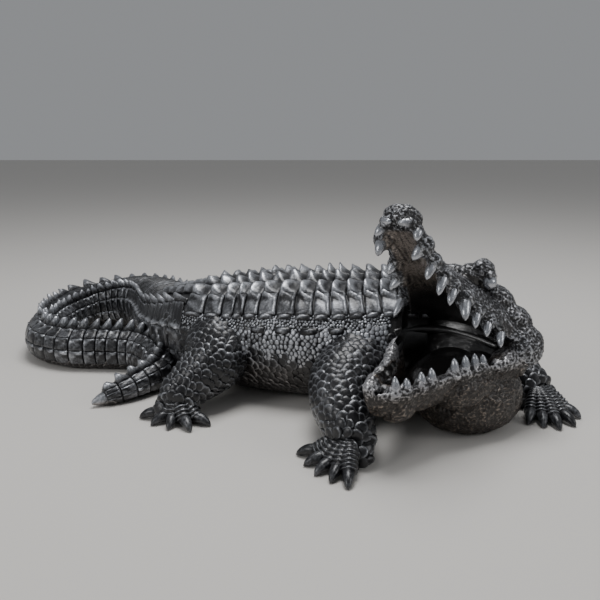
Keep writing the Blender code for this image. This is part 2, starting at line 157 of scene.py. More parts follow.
# Jaws along their own axis: distance from the hinge, half width, height, channel depth, rim lift.
HINGE = np.array([0.220, 0.930, 0.105])
HEAD_TURN = math.radians(37.5)
UPPER_PITCH = math.radians(42.5)
LOWER_PITCH = math.radians(-0.5)
UPPER_JAW = [
    (-0.050, 0.082, 0.050, 0.002, 0.000),
    (0.000, 0.102, 0.060, 0.006, 0.000),
    (0.035, 0.085, 0.063, 0.014, 0.000),
    (0.068, 0.068, 0.058, 0.016, 0.000),
    (0.100, 0.054, 0.047, 0.014, 0.000),
    (0.135, 0.042, 0.035, 0.012, 0.000),
    (0.170, 0.034, 0.029, 0.010, 0.000),
    (0.205, 0.029, 0.026, 0.009, 0.000),
    (0.238, 0.029, 0.028, 0.007, 0.002),
    (0.255, 0.023, 0.020, 0.005, 0.007),
    (0.266, 0.012, 0.009, 0.003, 0.010),
]
LOWER_JAW = [
    (-0.040, 0.086, 0.055, 0.004, 0.000),
    (0.000, 0.102, 0.062, 0.014, 0.000),
    (0.062, 0.075, 0.055, 0.032, -0.005),
    (0.110, 0.057, 0.049, 0.030, -0.005),
    (0.150, 0.046, 0.049, 0.027, -0.004),
    (0.180, 0.037, 0.042, 0.023, -0.004),
    (0.205, 0.030, 0.037, 0.018, -0.004),
    (0.220, 0.021, 0.031, 0.010, -0.004),
    (0.228, 0.010, 0.019, 0.004, -0.004),
]
print("stations:", len(SPINE), "spine,", len(UPPER_JAW) + len(LOWER_JAW), "jaws")

# %% [markdown]
# ## Curves, frames and closed shapes
#
# A smooth curve through the stations carries the forms.  At each point of it a small frame of three
# directions (along, to the side, up) says where the skin lies.  Shapes are gathered as closed shells in
# one sheet, and every point also gets a number called `lift`: 1 on a high spot that the silver brush
# meets, 0 in a groove that stays black.  The paint reads that number later.

# %% Curve and frame helpers
def smooth_path(rows, step):
    """Rows of numbers along a Catmull-Rom curve, about one every step of its first three."""
    rows = np.array(rows, float)
    ends = np.vstack([2 * rows[0] - rows[1], rows, 2 * rows[-1] - rows[-2]])
    found = []
    for i in range(1, len(ends) - 2):
        before, start, end, after = ends[i - 1 : i + 3]
        count = max(2, int(np.linalg.norm((end - start)[:3]) / step))
        linear = end - before
        square = 2 * before - 5 * start + 4 * end - after
        cubic = 3 * start - before - 3 * end + after
        for t in np.arange(count) / count:
            found.append(start + 0.5 * (linear * t + square * t**2 + cubic * t**3))
    found.append(rows[-1])
    return np.array(found)


def unit(v):
    return v / np.linalg.norm(v, axis=-1, keepdims=True)


def frames(points, reference=UP):
    """Side and up along a path, with side square to the reference."""
    tangent = unit(np.gradient(points, axis=0))
    side = unit(np.cross(tangent, reference))
    return side, np.cross(side, tangent)


def run_along(points):
    """Length of the path from its start to each of its points."""
    return np.concatenate([[0], np.cumsum(np.linalg.norm(np.diff(points, axis=0), axis=1))])


def superellipse(angle):
    """Unit outline point: angle 0 is the top, and it grows towards the side."""
    s, c = np.sin(angle), np.cos(angle)
    return np.sign(s) * abs(s) ** (2 / SECTION_POWER), np.sign(c) * abs(c) ** (2 / SECTION_POWER)


def ease(x, low=0.0, high=1.0):
    """0 below low, 1 above high, with a soft start and stop."""
    t = np.clip((np.asarray(x, float) - low) / (high - low), 0, 1)
    return t * t * (3 - 2 * t)


spine = smooth_path(SPINE, 0.004)
spine_run = run_along(spine[:, :3])
spine_side, spine_up = frames(spine[:, :3])
SPINE_LENGTH = spine_run[-1]
print("spine length, mm:", round(SPINE_LENGTH * 1000))


def along_spine(values, at):
    """Values given at the spine's points, read at any distance from the neck."""
    return np.stack([np.interp(at, spine_run, values[:, i]) for i in range(values.shape[1])], -1)


def on_back(at, degrees, height=0.0):
    """Points on the hide: a distance from the neck, an angle from the top and a height above it."""
    at, degrees, height = np.broadcast_arrays(at, degrees, height)
    row = along_spine(spine, at)
    side, up = unit(along_spine(spine_side, at)), unit(along_spine(spine_up, at))
    angle = np.radians(degrees)
    x, z = superellipse(angle)
    sideways = side * (np.sin(angle) * row[..., 4])[..., None]
    upwards = up * (np.cos(angle) * row[..., 3])[..., None]
    out = unit(sideways + upwards)
    skin = row[..., :3] + side * (x * row[..., 3])[..., None] + up * (z * row[..., 4])[..., None]
    return skin + out * height[..., None], out


def head_axes(pitch):
    """Forward, left and up of one jaw."""
    level = np.array([-math.sin(HEAD_TURN), -math.cos(HEAD_TURN), 0.0])
    left = np.array([math.cos(HEAD_TURN), -math.sin(HEAD_TURN), 0.0])
    forward = math.cos(pitch) * level + math.sin(pitch) * UP
    return np.array([forward, left, math.cos(pitch) * UP - math.sin(pitch) * level])


# %% The sheet that gathers closed shapes
class Sheet:
    """Closed shells of points and faces, each point with its lift for the paint."""

    def __init__(self):
        self.points, self.lifts, self.faces, self.count = [], [], [], 0

    def add(self, points, faces, lift):
        """Take in one shell, its faces counted from its own first point."""
        self.points.append(points)
        self.lifts.append(lift)
        self.faces.extend([tuple(self.count + i for i in face) for face in faces])
        self.count += len(points)

    def loft(self, rings, lift=0.5):
        """Rings of points joined in order, with a fan at each end."""
        rings = np.asarray(rings)
        n, m, _ = rings.shape
        faces = []
        for k in range(n - 1):
            for i in range(m):
                j = (i + 1) % m
                faces.append((k * m + i, k * m + j, (k + 1) * m + j, (k + 1) * m + i))
        first, last = n * m, n * m + 1
        for i in range(m):
            j = (i + 1) % m
            faces.append((j, i, first))
            faces.append(((n - 1) * m + i, (n - 1) * m + j, last))
        lift = np.broadcast_to(np.reshape(lift, (-1, 1)) if np.ndim(lift) == 1 else lift, (n, m))
        points = np.vstack([rings.reshape(-1, 3), rings[0].mean(axis=0), rings[-1].mean(axis=0)])
        self.add(points, faces, np.concatenate([lift.ravel(), [lift[0].mean(), lift[-1].mean()]]))

    def patch(self, top, bottom, lift):
        """A raised tile: its curved top, walls down to its foot and a floor under it."""
        n, m, _ = top.shape
        number = np.arange(n * m).reshape(n, m)
        faces = []
        for i in range(n - 1):
            for j in range(m - 1):
                faces.append((number[i, j], number[i, j + 1], number[i + 1, j + 1], number[i + 1, j]))
        rim = np.concatenate([number[0, :-1], number[:-1, -1], number[-1, :0:-1], number[:0:-1, 0]])
        foot = n * m + np.arange(len(rim))
        for k in range(len(rim)):
            after = (k + 1) % len(rim)
            faces.append((rim[after], rim[k], foot[k], foot[after]))
        faces.append(tuple(foot))
        points = np.vstack([top.reshape(-1, 3), bottom.reshape(-1, 3)[rim]])
        self.add(points, faces, np.concatenate([np.ravel(lift), np.zeros(len(rim))]))


def put_numbers(data, name, values):
    """Store one number a point under a name that nodes can read."""
    layer = data.attributes.get(name) or data.attributes.new(name, "FLOAT", "POINT")
    layer.data.foreach_set("value", np.asarray(values, np.float32))


def points_of(data):
    flat = np.empty(len(data.vertices) * 3)
    data.vertices.foreach_get("co", flat)
    return flat.reshape(-1, 3)


def normals_of(data):
    flat = np.empty(len(data.vertices) * 3, np.float32)
    data.vertex_normals.foreach_get("vector", flat)
    return flat.reshape(-1, 3).astype(float)


def set_points(data, points):
    data.vertices.foreach_set("co", np.asarray(points, np.float32).ravel())
    data.update()


pieces = {}


def finish_piece(thing, material):
    """Keep it in the figure's room, shade it smooth, paint it and give it its place in the frame."""
    set_points(thing.data, np.clip(points_of(thing.data), BOX_LOW, BOX_HIGH))
    thing.data.shade_smooth()
    thing.data.materials.clear()
    thing.data.materials.append(material)
    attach(thing, "root")
    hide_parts("crocodile")
    triangles = sum(len(face.vertices) - 2 for face in thing.data.polygons)
    pieces[thing.name] = triangles
    print(f"{thing.name}: {triangles} triangles")


def mesh_from(name, sheet, origin):
    """A mesh from a sheet, measured from an origin, its faces turned outwards."""
    data = bpy.data.meshes.new(name)
    data.from_pydata((np.vstack(sheet.points) - origin).tolist(), [], sheet.faces)
    mesh = bmesh.new()
    mesh.from_mesh(data)
    bmesh.ops.recalc_face_normals(mesh, faces=mesh.faces)
    mesh.to_mesh(data)
    mesh.free()
    put_numbers(data, "lift", np.concatenate(sheet.lifts))
    return data


def object_from(name, sheet):
    """An object from a sheet, moved from the plan grid to the frame's middle."""
    thing = bpy.data.objects.new(name, mesh_from(name, sheet, MIDDLE))
    bpy.context.scene.collection.objects.link(thing)
    return thing


def settle(thing):
    """Turn what the modifiers show into the object's plain mesh."""
    graph = bpy.context.evaluated_depsgraph_get()
    made = bpy.data.meshes.new_from_object(thing.evaluated_get(graph))
    thing.modifiers.clear()
    thing.data = made


# %% [markdown]
# ## The paint: silver brushed over black
#
# The casting was sprayed black and then dry-brushed, so the silver sits on plates, ridges and scale tops
# and never reaches the grooves.  A real brush could be imitated with a light that finds the edges, but
# the shapes already know where they are high, so the paint simply follows `lift`, roughened by noise.
# A second number brings in the brownish wash of the lower jaw, the gums and the belly.  It grows towards the
# undersides, and there its browner, darker paint is painted shade and a painted reflection of a brown floor.
# A third, `wet`, gives the black gloss inside the mouth.

# %% Shader maths as plain expressions
class Wire:
    """A node socket that can be added, multiplied and so on like a number."""

    def __init__(self, tree, socket):
        self.tree, self.socket = tree, socket

    def maths(self, operation, *values, clamp=False):
        node = self.tree.nodes.new("ShaderNodeMath")
        node.operation = operation
        node.use_clamp = clamp
        for slot, value in zip(node.inputs, values):
            self.feed(slot, value)
        return Wire(self.tree, node.outputs[0])

    def feed(self, slot, value):
        if isinstance(value, Wire):
            self.tree.links.new(value.socket, slot)
        else:
            slot.default_value = value

    def node(self, kind, values, output=0, **settings):
        """Any other node: its type, its socket values by name and its settings."""
        made = self.tree.nodes.new(kind)
        for name, value in settings.items():
            setattr(made, name, value)
        for name, value in values.items():
            self.feed(made.inputs[name], value)
        return Wire(self.tree, made.outputs[output])

    def mix(self, factor, one, two):
        """Blend of two colours."""
        made = self.tree.nodes.new("ShaderNodeMix")
        made.data_type = "RGBA"
        self.feed(made.inputs["Factor"], factor)
        self.feed(made.inputs[6], one)
        self.feed(made.inputs[7], two)
        return Wire(self.tree, made.outputs[2])

    def within(self, low, high):
        """0 at low and 1 at high, held between the two."""
        return self.maths("DIVIDE", self - low, high - low, clamp=True)

    def __add__(self, other):
        return self.maths("ADD", self, other)

    def __radd__(self, other):
        return self.maths("ADD", other, self)

    def __sub__(self, other):
        return self.maths("SUBTRACT", self, other)

    def __rsub__(self, other):
        return self.maths("SUBTRACT", other, self)

    def __mul__(self, other):
        return self.maths("MULTIPLY", self, other)

    def __rmul__(self, other):
        return self.maths("MULTIPLY", other, self)

    def __truediv__(self, other):
        return self.maths("DIVIDE", self, other)

    def __rtruediv__(self, other):
        return self.maths("DIVIDE", other, self)

    def __pow__(self, other):
        return self.maths("POWER", self, other)


# %% Mix the paint
BLACK = (0.008, 0.008, 0.010, 1.0)
SILVER = (0.46, 0.475, 0.51, 1.0)
# Brown black and brown silver: the brownish wash, and on the undersides painted shade and a painted
# reflection of a brown floor, so the brown silver is darker than SILVER.
BROWN_SHADE_BLACK = (0.016, 0.011, 0.008, 1.0)
BROWN_SHADE_SILVER = (0.30, 0.245, 0.20, 1.0)
WET_BLACK = (0.012, 0.011, 0.011, 1.0)
TONE_SHARE, STROKE_SHARE, WEAR_SHARE = 0.14, 0.75, 0.55
WEAR_SCALE = 22.0
SILVER_FROM, SILVER_FULL, SILVER_CURVE = 0.28, 0.94, 1.6
CRACKLE_WIDTH = 0.07
BUMP_DEPTH = 0.0009


def make_paint(name, coverage, grain, shine, crackle=0.0):
    """Black ground with silver where lift is high; crackle adds fine dark wrinkles."""
    made = bpy.data.materials.new(name)
    made.use_nodes = True
    tree = made.node_tree
    shader = tree.nodes["Principled BSDF"]
    start = Wire(tree, None)
    place = start.node("ShaderNodeTexCoord", {}, 3)

    def number(name):
        return start.node("ShaderNodeAttribute", {}, 2, attribute_name=name)

    def cloud(scale, detail, **more):
        return start.node("ShaderNodeTexNoise", {"Vector": place, "Scale": scale, "Detail": detail, **more})

    warm, wet = number("warm"), number("wet")
    strokes = cloud(grain, 4.0, Roughness=0.65)
    patches = (strokes - 0.5) * STROKE_SHARE + (cloud(WEAR_SCALE, 3.0) - 0.5) * WEAR_SHARE
    height = number("lift") + number("tone") * TONE_SHARE + patches + (coverage - 0.5)
    relief = strokes
    if crackle:
        fold = cloud(grain * 0.8, 2.0, Distortion=0.6)
        line = fold.maths("ABSOLUTE", fold - 0.5).within(0.0, CRACKLE_WIDTH)
        height = height - (1.0 - line) * crackle
        relief = strokes * 0.4 + line * 0.6
    silver = height.within(SILVER_FROM, SILVER_FULL) ** SILVER_CURVE
    cool = start.mix(silver, BLACK, SILVER)
    # Where the brown number is high the paint turns browner and darker: the wash, and on the undersides
    # painted shade with painted floor reflection.
    brown_and_shade = start.mix(silver, BROWN_SHADE_BLACK, BROWN_SHADE_SILVER)
    coat = start.mix(warm, cool, brown_and_shade)
    dry = 1.0 - wet
    start.feed(shader.inputs["Base Color"], start.mix(wet, coat, WET_BLACK))
    start.feed(shader.inputs["Metallic"], (silver * 0.55 + 0.3) * dry * (1.0 - warm * 0.4))
    rough = shine + (1.0 - silver) * 0.10 + (strokes - 0.5) * 0.25
    start.feed(shader.inputs["Roughness"], rough * (dry * 0.5 + 0.5))
    shader.inputs["Coat Weight"].default_value = 0.35
    shader.inputs["Coat Roughness"].default_value = 0.18
    relief = relief * (dry * 0.85 + 0.15)
    bump = start.node("ShaderNodeBump", {"Height": relief, "Distance": BUMP_DEPTH, "Strength": 0.7})
    start.feed(shader.inputs["Normal"], bump)
    return made


HIDE_PAINT = make_paint("antique_silver_hide", 0.45, 300.0, 0.32)
LEG_PAINT = make_paint("antique_silver_legs", 0.30, 260.0, 0.24)
PLATE_PAINT = make_paint("antique_silver_plates", 0.49, 260.0, 0.30)
HEAD_PAINT = make_paint("antique_silver_head", 0.49, 230.0, 0.30, 0.42)
BRIGHT_PAINT = make_paint("antique_silver_bright", 0.50, 110.0, 0.24)
print("paints:", [m.name for m in (HIDE_PAINT, LEG_PAINT, PLATE_PAINT, HEAD_PAINT, BRIGHT_PAINT)])

# %% [markdown]
# ## The body under the scales
#
# Under its scales the animal is a barrel of a trunk, four bent legs with palms and a long tapering tail.
# They are lofted separately and then fused by a voxel remesh, which melts the joints together the way
# thumbs press clay.  Only the floor of the grooves will show, so this skin can be fairly coarse and it
# lies a little below the surface that the scales build up.

# %% Loft the flesh and fuse it
SKIN_INSET = 0.0012
SKIN_VOXEL = 0.004
BODY_SIDES = 28
TIP_SHARES = (0.45, 0.8)
LEG_STEP = 0.006
PALM_RADII = (0.021, 0.030, 0.016)
NECK_FROM = 0.045
GROUND_CUT = 0.0003
CLAW_REST = 0.0015


def full_turn(sides):
    """Angles of the points of a ring."""
    return np.arange(sides) * 2 * math.pi / sides


def ball(sheet, centre, radii, axes=np.eye(3), rings=10, sides=16, lift=0.5):
    """Ellipsoid on its own axes."""
    turn = full_turn(sides)
    pole = math.pi / (rings + 1) / 2
    loops = []
    for polar in np.linspace(pole, math.pi - pole, rings):
        ring = np.stack([np.cos(turn), np.sin(turn), np.zeros(sides)], 1) * np.sin(polar)
        ring[:, 2] = np.cos(polar)
        loops.append(np.array(centre) + (ring * radii) @ np.array(axes))
    sheet.loft(loops, lift)


def tube_rings(path, sides=16, reference=(0.2, 0.3, 1.0)):
    """Round rings along a path of points with radii."""
    angle = full_turn(sides)[None, :, None]
    side, up = frames(path[:, :3], np.array(reference))
    rims = np.sin(angle) * side[:, None] + np.cos(angle) * up[:, None]
    return path[:, None, :3] + path[:, 3, None, None] * rims


def fuse(name, sheet, voxel, rounds):
    """One skin over all the shapes of a sheet, softened."""
    thing = object_from(name, sheet)
    melt = thing.modifiers.new("Fuse", "REMESH")
    melt.mode = "VOXEL"
    melt.voxel_size = voxel
    soften = thing.modifiers.new("Soften", "SMOOTH")
    soften.factor = 0.5
    soften.iterations = rounds
    settle(thing)
    return thing


def cut_flat(data):
    """Cut away what would lie below the ground and close the soles."""
    mesh = bmesh.new()
    mesh.from_mesh(data)
    everything = mesh.verts[:] + mesh.edges[:] + mesh.faces[:]
    ground = (0, 0, GROUND_CUT)
    cut = bmesh.ops.bisect_plane(mesh, geom=everything, plane_co=ground, plane_no=-UP, clear_outer=True)
    edges = [item for item in cut["geom_cut"] if isinstance(item, bmesh.types.BMEdge)]
    bmesh.ops.holes_fill(mesh, edges=edges, sides=0)
    bmesh.ops.triangulate(mesh, faces=[face for face in mesh.faces if len(face.verts) > 4])
    mesh.to_mesh(data)
    mesh.free()


def foot_frame(name):
    """Wrist, claw tips and the way the foot points."""
    wrist = np.array(LEGS[name][-1][:3])
    tips = np.array([(*tip, CLAW_REST) for tip in CLAW_TIPS[name]])
    toward = unit((tips.mean(axis=0) - wrist) * (1, 1, 0))
    return wrist, tips, toward


body = Sheet()
turn = np.degrees(full_turn(BODY_SIDES))
rings = [on_back(at, turn, -SKIN_INSET)[0] for at in spine_run[spine_run >= NECK_FROM][::2]]
for back, share in enumerate(TIP_SHARES, 1):
    centre = rings[-back].mean(axis=0)
    rings[-back] = centre + (rings[-back] - centre) * share
body.loft(rings)
for name, rows in LEGS.items():
    path = smooth_path(rows, LEG_STEP)
    path[:, 3] -= SKIN_INSET
    body.loft(tube_rings(path))
    wrist, _, toward = foot_frame(name)
    palm = (wrist[0], wrist[1], PALM_RADII[2] * 0.85)
    ball(body, palm, PALM_RADII, (toward, np.cross(UP, toward), UP))
skin = fuse("skin", body, SKIN_VOXEL, 3)
cut_flat(skin.data)
print("skin points:", len(skin.data.vertices))

# %% [markdown]
# ## Which scale grows where
#
# A crocodile's hide changes as it goes round: tiny beads under the back plates, pebbles on the flank
# and broad overlapping scales on the belly and the legs.  Each point of the skin is asked how far along
# and how far round it lies, and the answers become masks, one for each kind of scale.  Painting the
# masks by hand would do as well, but it would have to be done again after every change of the pose.

# %% Map the skin
PALM_REACH = 0.034


def nearest(points, path):
    """Index of the nearest point of a path, and the distance."""
    index = np.empty(len(points), int)
    for start in range(0, len(points), 4000):
        block = points[start : start + 4000, None] - path[None, :, :3]
        index[start : start + 4000] = np.argmin((block**2).sum(-1), axis=1)
    return index, np.linalg.norm(points - path[index, :3], axis=1)


def read_skin(points):
    """Distance along, angle round, direction of growth and whether it is a leg, for points of the skin."""
    index, _ = nearest(points, spine)
    away = points - spine[index, :3]
    x = (away * spine_side[index]).sum(-1) / spine[index, 3]
    z = (away * spine_up[index]).sum(-1) / spine[index, 4]
    half = SECTION_POWER / 2
    angle = np.degrees(np.arctan2(np.sign(x) * abs(x) ** half, np.sign(z) * abs(z) ** half))
    outside = (abs(x) ** SECTION_POWER + abs(z) ** SECTION_POWER) ** (1 / SECTION_POWER) - 1
    body_gap = outside * np.minimum(spine[index, 3], spine[index, 4])
    tangent = unit(np.gradient(spine[:, :3], axis=0))
    flow = tangent[index]
    leg_gap = np.full(len(points), 1e3)
    for name, rows in LEGS.items():
        path = smooth_path(rows, LEG_STEP)
        wrist, _, toward = foot_frame(name)
        where, distance = nearest(points, path)
        gap = distance - path[where, 3]
        palm_gap = (np.linalg.norm(points - wrist, axis=1) - PALM_REACH) * 0.9
        foot = palm_gap < gap
        gap = np.minimum(gap, palm_gap)
        closer = gap < leg_gap
        leg_gap[closer] = gap[closer]
        leg_tangent = unit(np.gradient(path[:, :3], axis=0))[where]
        leg_tangent[foot] = toward
        use = closer & (gap < body_gap)
        flow[use] = leg_tangent[use]
    return spine_run[index], angle, flow, leg_gap < body_gap


skin_points = points_of(skin.data) + MIDDLE
skin_at, skin_angle, skin_flow, skin_on_leg = read_skin(skin_points)
around = abs(skin_angle)
print("points on the legs:", int(skin_on_leg.sum()))

# %% Mask each kind of scale
HIPS_AT = 0.462
NECK_SCALES_TO = 0.122
SCALES_ABOVE = 0.005

# The skin behind the open mouth, from the hinge and in the lower jaw's directions.
MOUTH_SKIN_TO = 0.13
MOUTH_FROM, MOUTH_HALF_WIDTH = -0.012, 0.086

# Toes stand here instead of scales: within reach of the wrist, ahead of it and low down.
TOES_REACH, TOES_AHEAD, TOES_BELOW = 0.05, 0.014, 0.034

# Degrees from the top where one kind ends and the next begins.
BEADS_FROM, BEADS_TO = 59, 73
PEBBLES_FROM, PEBBLES_TO = 72, 97
BELLY_FROM, TAIL_BELLY_FROM = 94, 121
NECK_TO = 62

height = skin_points[:, 2]
trunk = ~skin_on_leg & (skin_at < HIPS_AT)
tail = ~skin_on_leg & (skin_at >= HIPS_AT)
in_head = (skin_points - HINGE) @ head_axes(LOWER_PITCH).T
mouth = ~skin_on_leg & (skin_at < MOUTH_SKIN_TO)
mouth &= (in_head[:, 0] > MOUTH_FROM) & (abs(in_head[:, 1]) < MOUTH_HALF_WIDTH)
shin = np.ones(len(skin_points), bool)
for name in LEGS:
    wrist, _, toward = foot_frame(name)
    by_wrist = np.linalg.norm(skin_points - wrist, axis=1) < TOES_REACH
    shin &= ~(by_wrist & ((skin_points - wrist) @ toward > TOES_AHEAD) & (height < TOES_BELOW))
wander = 4 * np.sin(skin_at * 70) + 3 * np.sin(skin_at * 173 + 1)
masks = {
    "bed_beads": trunk & (around > BEADS_FROM) & (around < BEADS_TO),
    "bed_pebbles": trunk & (around >= PEBBLES_FROM) & (around < PEBBLES_TO + wander),
    "bed_belly": (trunk & (around >= BELLY_FROM + wander)) | (tail & (around > TAIL_BELLY_FROM)),
    "bed_legs": skin_on_leg & shin,
    "bed_neck": ~skin_on_leg & (skin_at < NECK_SCALES_TO) & (around <= NECK_TO),
}
for name, mask in masks.items():
    scaly = mask & (height > SCALES_ABOVE) & ~mouth
    put_numbers(skin.data, name, scaly)
    print(name, int(scaly.sum()), "points")

# %% Paint numbers and flow of the skin
TIP_SHINES = (SPINE_LENGTH - 0.045, SPINE_LENGTH - 0.02)
# From 92 degrees round, the belly and the tail's underside turn browner and darker: the brown wash, with
# painted shade and painted floor reflection underneath.
put_numbers(skin.data, "warm", ease(around, 92, 108) * (trunk | tail) * 0.55)
put_numbers(skin.data, "lift", 0.10 + 0.72 * ease(skin_at, *TIP_SHINES))
put_numbers(skin.data, "wet", mouth * 0.9)
flow_layer = skin.data.attributes.new("flow", "FLOAT_VECTOR", "POINT")
flow_layer.data.foreach_set("vector", skin_flow.astype(np.float32).ravel())

# %% [markdown]
# ## Beds of scales
#
# A sculptor would press each scale into the clay, one beside the other.  Here a Geometry Nodes tree
# scatters points on the masked skin so that no two come closer than one spacing, stands one small domed
# scale on each, turns it to the flow of the limb and tips it so that its free edge lifts over the next.
# One tree serves all beds, since only the scale, its spacing and the mask change.

# %% The scale shape
def make_scale(name, sides, profile, stretch, ridge=0.0):
    """A domed scale of radius 1 from rings of radius, height and lift, with a ridge along its middle."""
    sheet = Sheet()
    angle = full_turn(sides)
    rings, lifts = [], []
    for radius, height, lift in profile:
        ring = np.stack([np.cos(angle) * radius * stretch, np.sin(angle) * radius, np.full(sides, height)], 1)
        ring[:, 2] += ridge * (1 - abs(np.sin(angle)) ** 0.7) * (height > 0) * (1 - radius * 0.6)
        rings.append(ring)
        lifts.append(lift)
    sheet.loft(rings, np.array(lifts))
    return bpy.data.objects.new(name, mesh_from(name, sheet, np.zeros(3)))


ROUND_PROFILE = [
    (0.95, -0.35, 0.00),
    (1.00, 0.00, 0.05),
    (0.80, 0.24, 0.45),
    (0.50, 0.36, 0.85),
    (0.20, 0.40, 1.00),
]
BROAD_PROFILE = [
    (0.95, -0.35, 0.00),
    (1.00, 0.04, 0.30),
    (0.90, 0.19, 0.80),
    (0.60, 0.27, 0.48),
    (0.20, 0.31, 0.30),
]
BEAD_PROFILE = [
    (0.90, -0.30, 0.00),
    (1.00, 0.05, 0.05),
    (0.66, 0.55, 0.85),
]
round_scale = make_scale("round_scale", 8, ROUND_PROFILE, 1.05)
broad_scale = make_scale("broad_scale", 9, BROAD_PROFILE, 1.14, 0.08)
bead = make_scale("bead", 7, BEAD_PROFILE, 1.0)
print("scales:", [thing.name for thing in (round_scale, broad_scale, bead)])


# %% The tree that beds them
POINTS_A_SQUARE = 14.0
SMALLEST, LARGEST = 0.88, 1.16
TONE_SEED = 11


def bed_tree():
    """Scatter, turn, tip, vary, tone, realize and paint."""
    tree = bpy.data.node_groups.new("Scale bed", "GeometryNodeTree")
    tree.is_modifier = True
    sockets = {}
    for name, kind in (
        ("Skin", "NodeSocketGeometry"),
        ("Scale", "NodeSocketObject"),
        ("Spacing", "NodeSocketFloat"),
        ("Size", "NodeSocketFloat"),
        ("Tip", "NodeSocketFloat"),
        ("Bed", "NodeSocketString"),
        ("Seed", "NodeSocketInt"),
        ("Paint", "NodeSocketMaterial"),
    ):
        sockets[name] = tree.interface.new_socket(name, in_out="INPUT", socket_type=kind).identifier
    tree.interface.new_socket("Scales", in_out="OUTPUT", socket_type="NodeSocketGeometry")

    def node(kind, values, **settings):
        """A node with its settings and, for each input, a link or a value; gives its outputs."""
        made = tree.nodes.new(kind)
        for key, value in settings.items():
            setattr(made, key, value)
        for key, value in values.items():
            if isinstance(value, bpy.types.NodeSocket):
                tree.links.new(value, made.inputs[key])
            else:
                made.inputs[key].default_value = value
        return made.outputs

    given = node("NodeGroupInput", {})
    seed, spacing = given["Seed"], given["Spacing"]
    mask = node("GeometryNodeInputNamedAttribute", {"Name": given["Bed"]}, data_type="FLOAT")
    flow = node("GeometryNodeInputNamedAttribute", {"Name": "flow"}, data_type="FLOAT_VECTOR")
    square = node("ShaderNodeMath", {0: spacing, 1: spacing}, operation="MULTIPLY")
    density = node("ShaderNodeMath", {0: POINTS_A_SQUARE, 1: square[0]}, operation="DIVIDE")
    gaps = {"Distance Min": spacing, "Density Max": density[0], "Density Factor": mask[0]}
    scatter = node(
        "GeometryNodeDistributePointsOnFaces",
        {"Mesh": given["Skin"], "Seed": seed, **gaps},
        distribute_method="POISSON",
    )
    upright = node("FunctionNodeAlignRotationToVector", {"Vector": scatter["Normal"]}, axis="Z")
    turned = node(
        "FunctionNodeAlignRotationToVector",
        {"Rotation": upright[0], "Vector": flow[0]},
        axis="X",
        pivot_axis="Z",
    )
    lean = node("FunctionNodeAxisAngleToRotation", {"Axis": (0, 1, 0), "Angle": given["Tip"]})
    tipped = node("FunctionNodeRotateRotation", {0: turned[0], 1: lean[0]}, rotation_space="LOCAL")
    vary = node("FunctionNodeRandomValue", {2: SMALLEST, 3: LARGEST, "Seed": seed}, data_type="FLOAT")
    size = node("ShaderNodeMath", {0: vary[1], 1: given["Size"]}, operation="MULTIPLY")
    shape = node("GeometryNodeObjectInfo", {"Object": given["Scale"]})
    pose = {"Rotation": tipped[0], "Scale": size[0]}
    stamp = node(
        "GeometryNodeInstanceOnPoints",
        {"Points": scatter["Points"], "Instance": shape["Geometry"], **pose},
    )
    shade = node("FunctionNodeRandomValue", {2: -1.0, "Seed": TONE_SEED}, data_type="FLOAT")
    toned = node(
        "GeometryNodeStoreNamedAttribute",
        {"Name": "tone", "Geometry": stamp[0], "Value": shade[1]},
        data_type="FLOAT",
        domain="INSTANCE",
    )
    real = node("GeometryNodeRealizeInstances", {0: toned[0]})
    painted = node("GeometryNodeSetMaterial", {"Geometry": real[0], "Material": given["Paint"]})
    node("NodeGroupOutput", {0: painted[0]})
    return tree, sockets


BED_TREE, BED_SOCKETS = bed_tree()
print("inputs of a bed:", list(BED_SOCKETS))


# %% Lay the beds
def lay_bed(name, scale, spacing, spread, tip, bed, seed, paint):
    """One bed of scales on the skin: the scale's radius is its spacing times the spread."""
    thing = bpy.data.objects.new(name, skin.data.copy())
    bpy.context.scene.collection.objects.link(thing)
    grow = thing.modifiers.new("Bed", "NODES")
    grow.node_group = BED_TREE
    values = {
        "Scale": scale,
        "Spacing": spacing,
        "Size": spacing * spread,
        "Tip": math.radians(tip),
        "Bed": bed,
        "Seed": seed,
        "Paint": paint,
    }
    for key, value in values.items():
        grow[BED_SOCKETS[key]] = value
    settle(thing)
    finish_piece(thing, paint)


lay_bed("flank_beads", bead, 0.0036, 0.72, 0, "bed_beads", 3, HIDE_PAINT)
lay_bed("flank_pebbles", round_scale, 0.0053, 0.98, 12, "bed_pebbles", 4, HIDE_PAINT)
lay_bed("belly_scales", broad_scale, 0.0084, 0.92, 11, "bed_belly", 5, LEG_PAINT)
lay_bed("leg_scales", broad_scale, 0.0092, 0.90, 22, "bed_legs", 6, LEG_PAINT)
lay_bed("neck_scales", round_scale, 0.0080, 0.86, 14, "bed_neck", 7, HIDE_PAINT)
finish_piece(skin, HIDE_PAINT)

# %% [markdown]
# ## Plates of the back
#
# Along the trunk the plates stand in rows, one of each row to every rib: pointed keels beside the spine,
# thumb-shaped shields next to them, and tall flat shields on the shoulder of the back with a small arch
# under each.  Deep black grooves part one rib from the next, and four smooth bosses swell on each flank.
# A plate is a small curved grid laid on the hide by distance and angle, pushed outwards by a height
# profile and closed by walls and a floor.  A little chance dents each one, as a thumb does in clay.

# %% Lay one tile
FEWEST_STEPS = 6
hand = np.random.default_rng(12)


def spaced(count):
    """Steps from 0 to 1 that crowd at both ends, so that a tile's edges stay crisp."""
    return np.array([0, 0.045, *np.linspace(0.13, 0.87, count - 4), 0.955, 1])


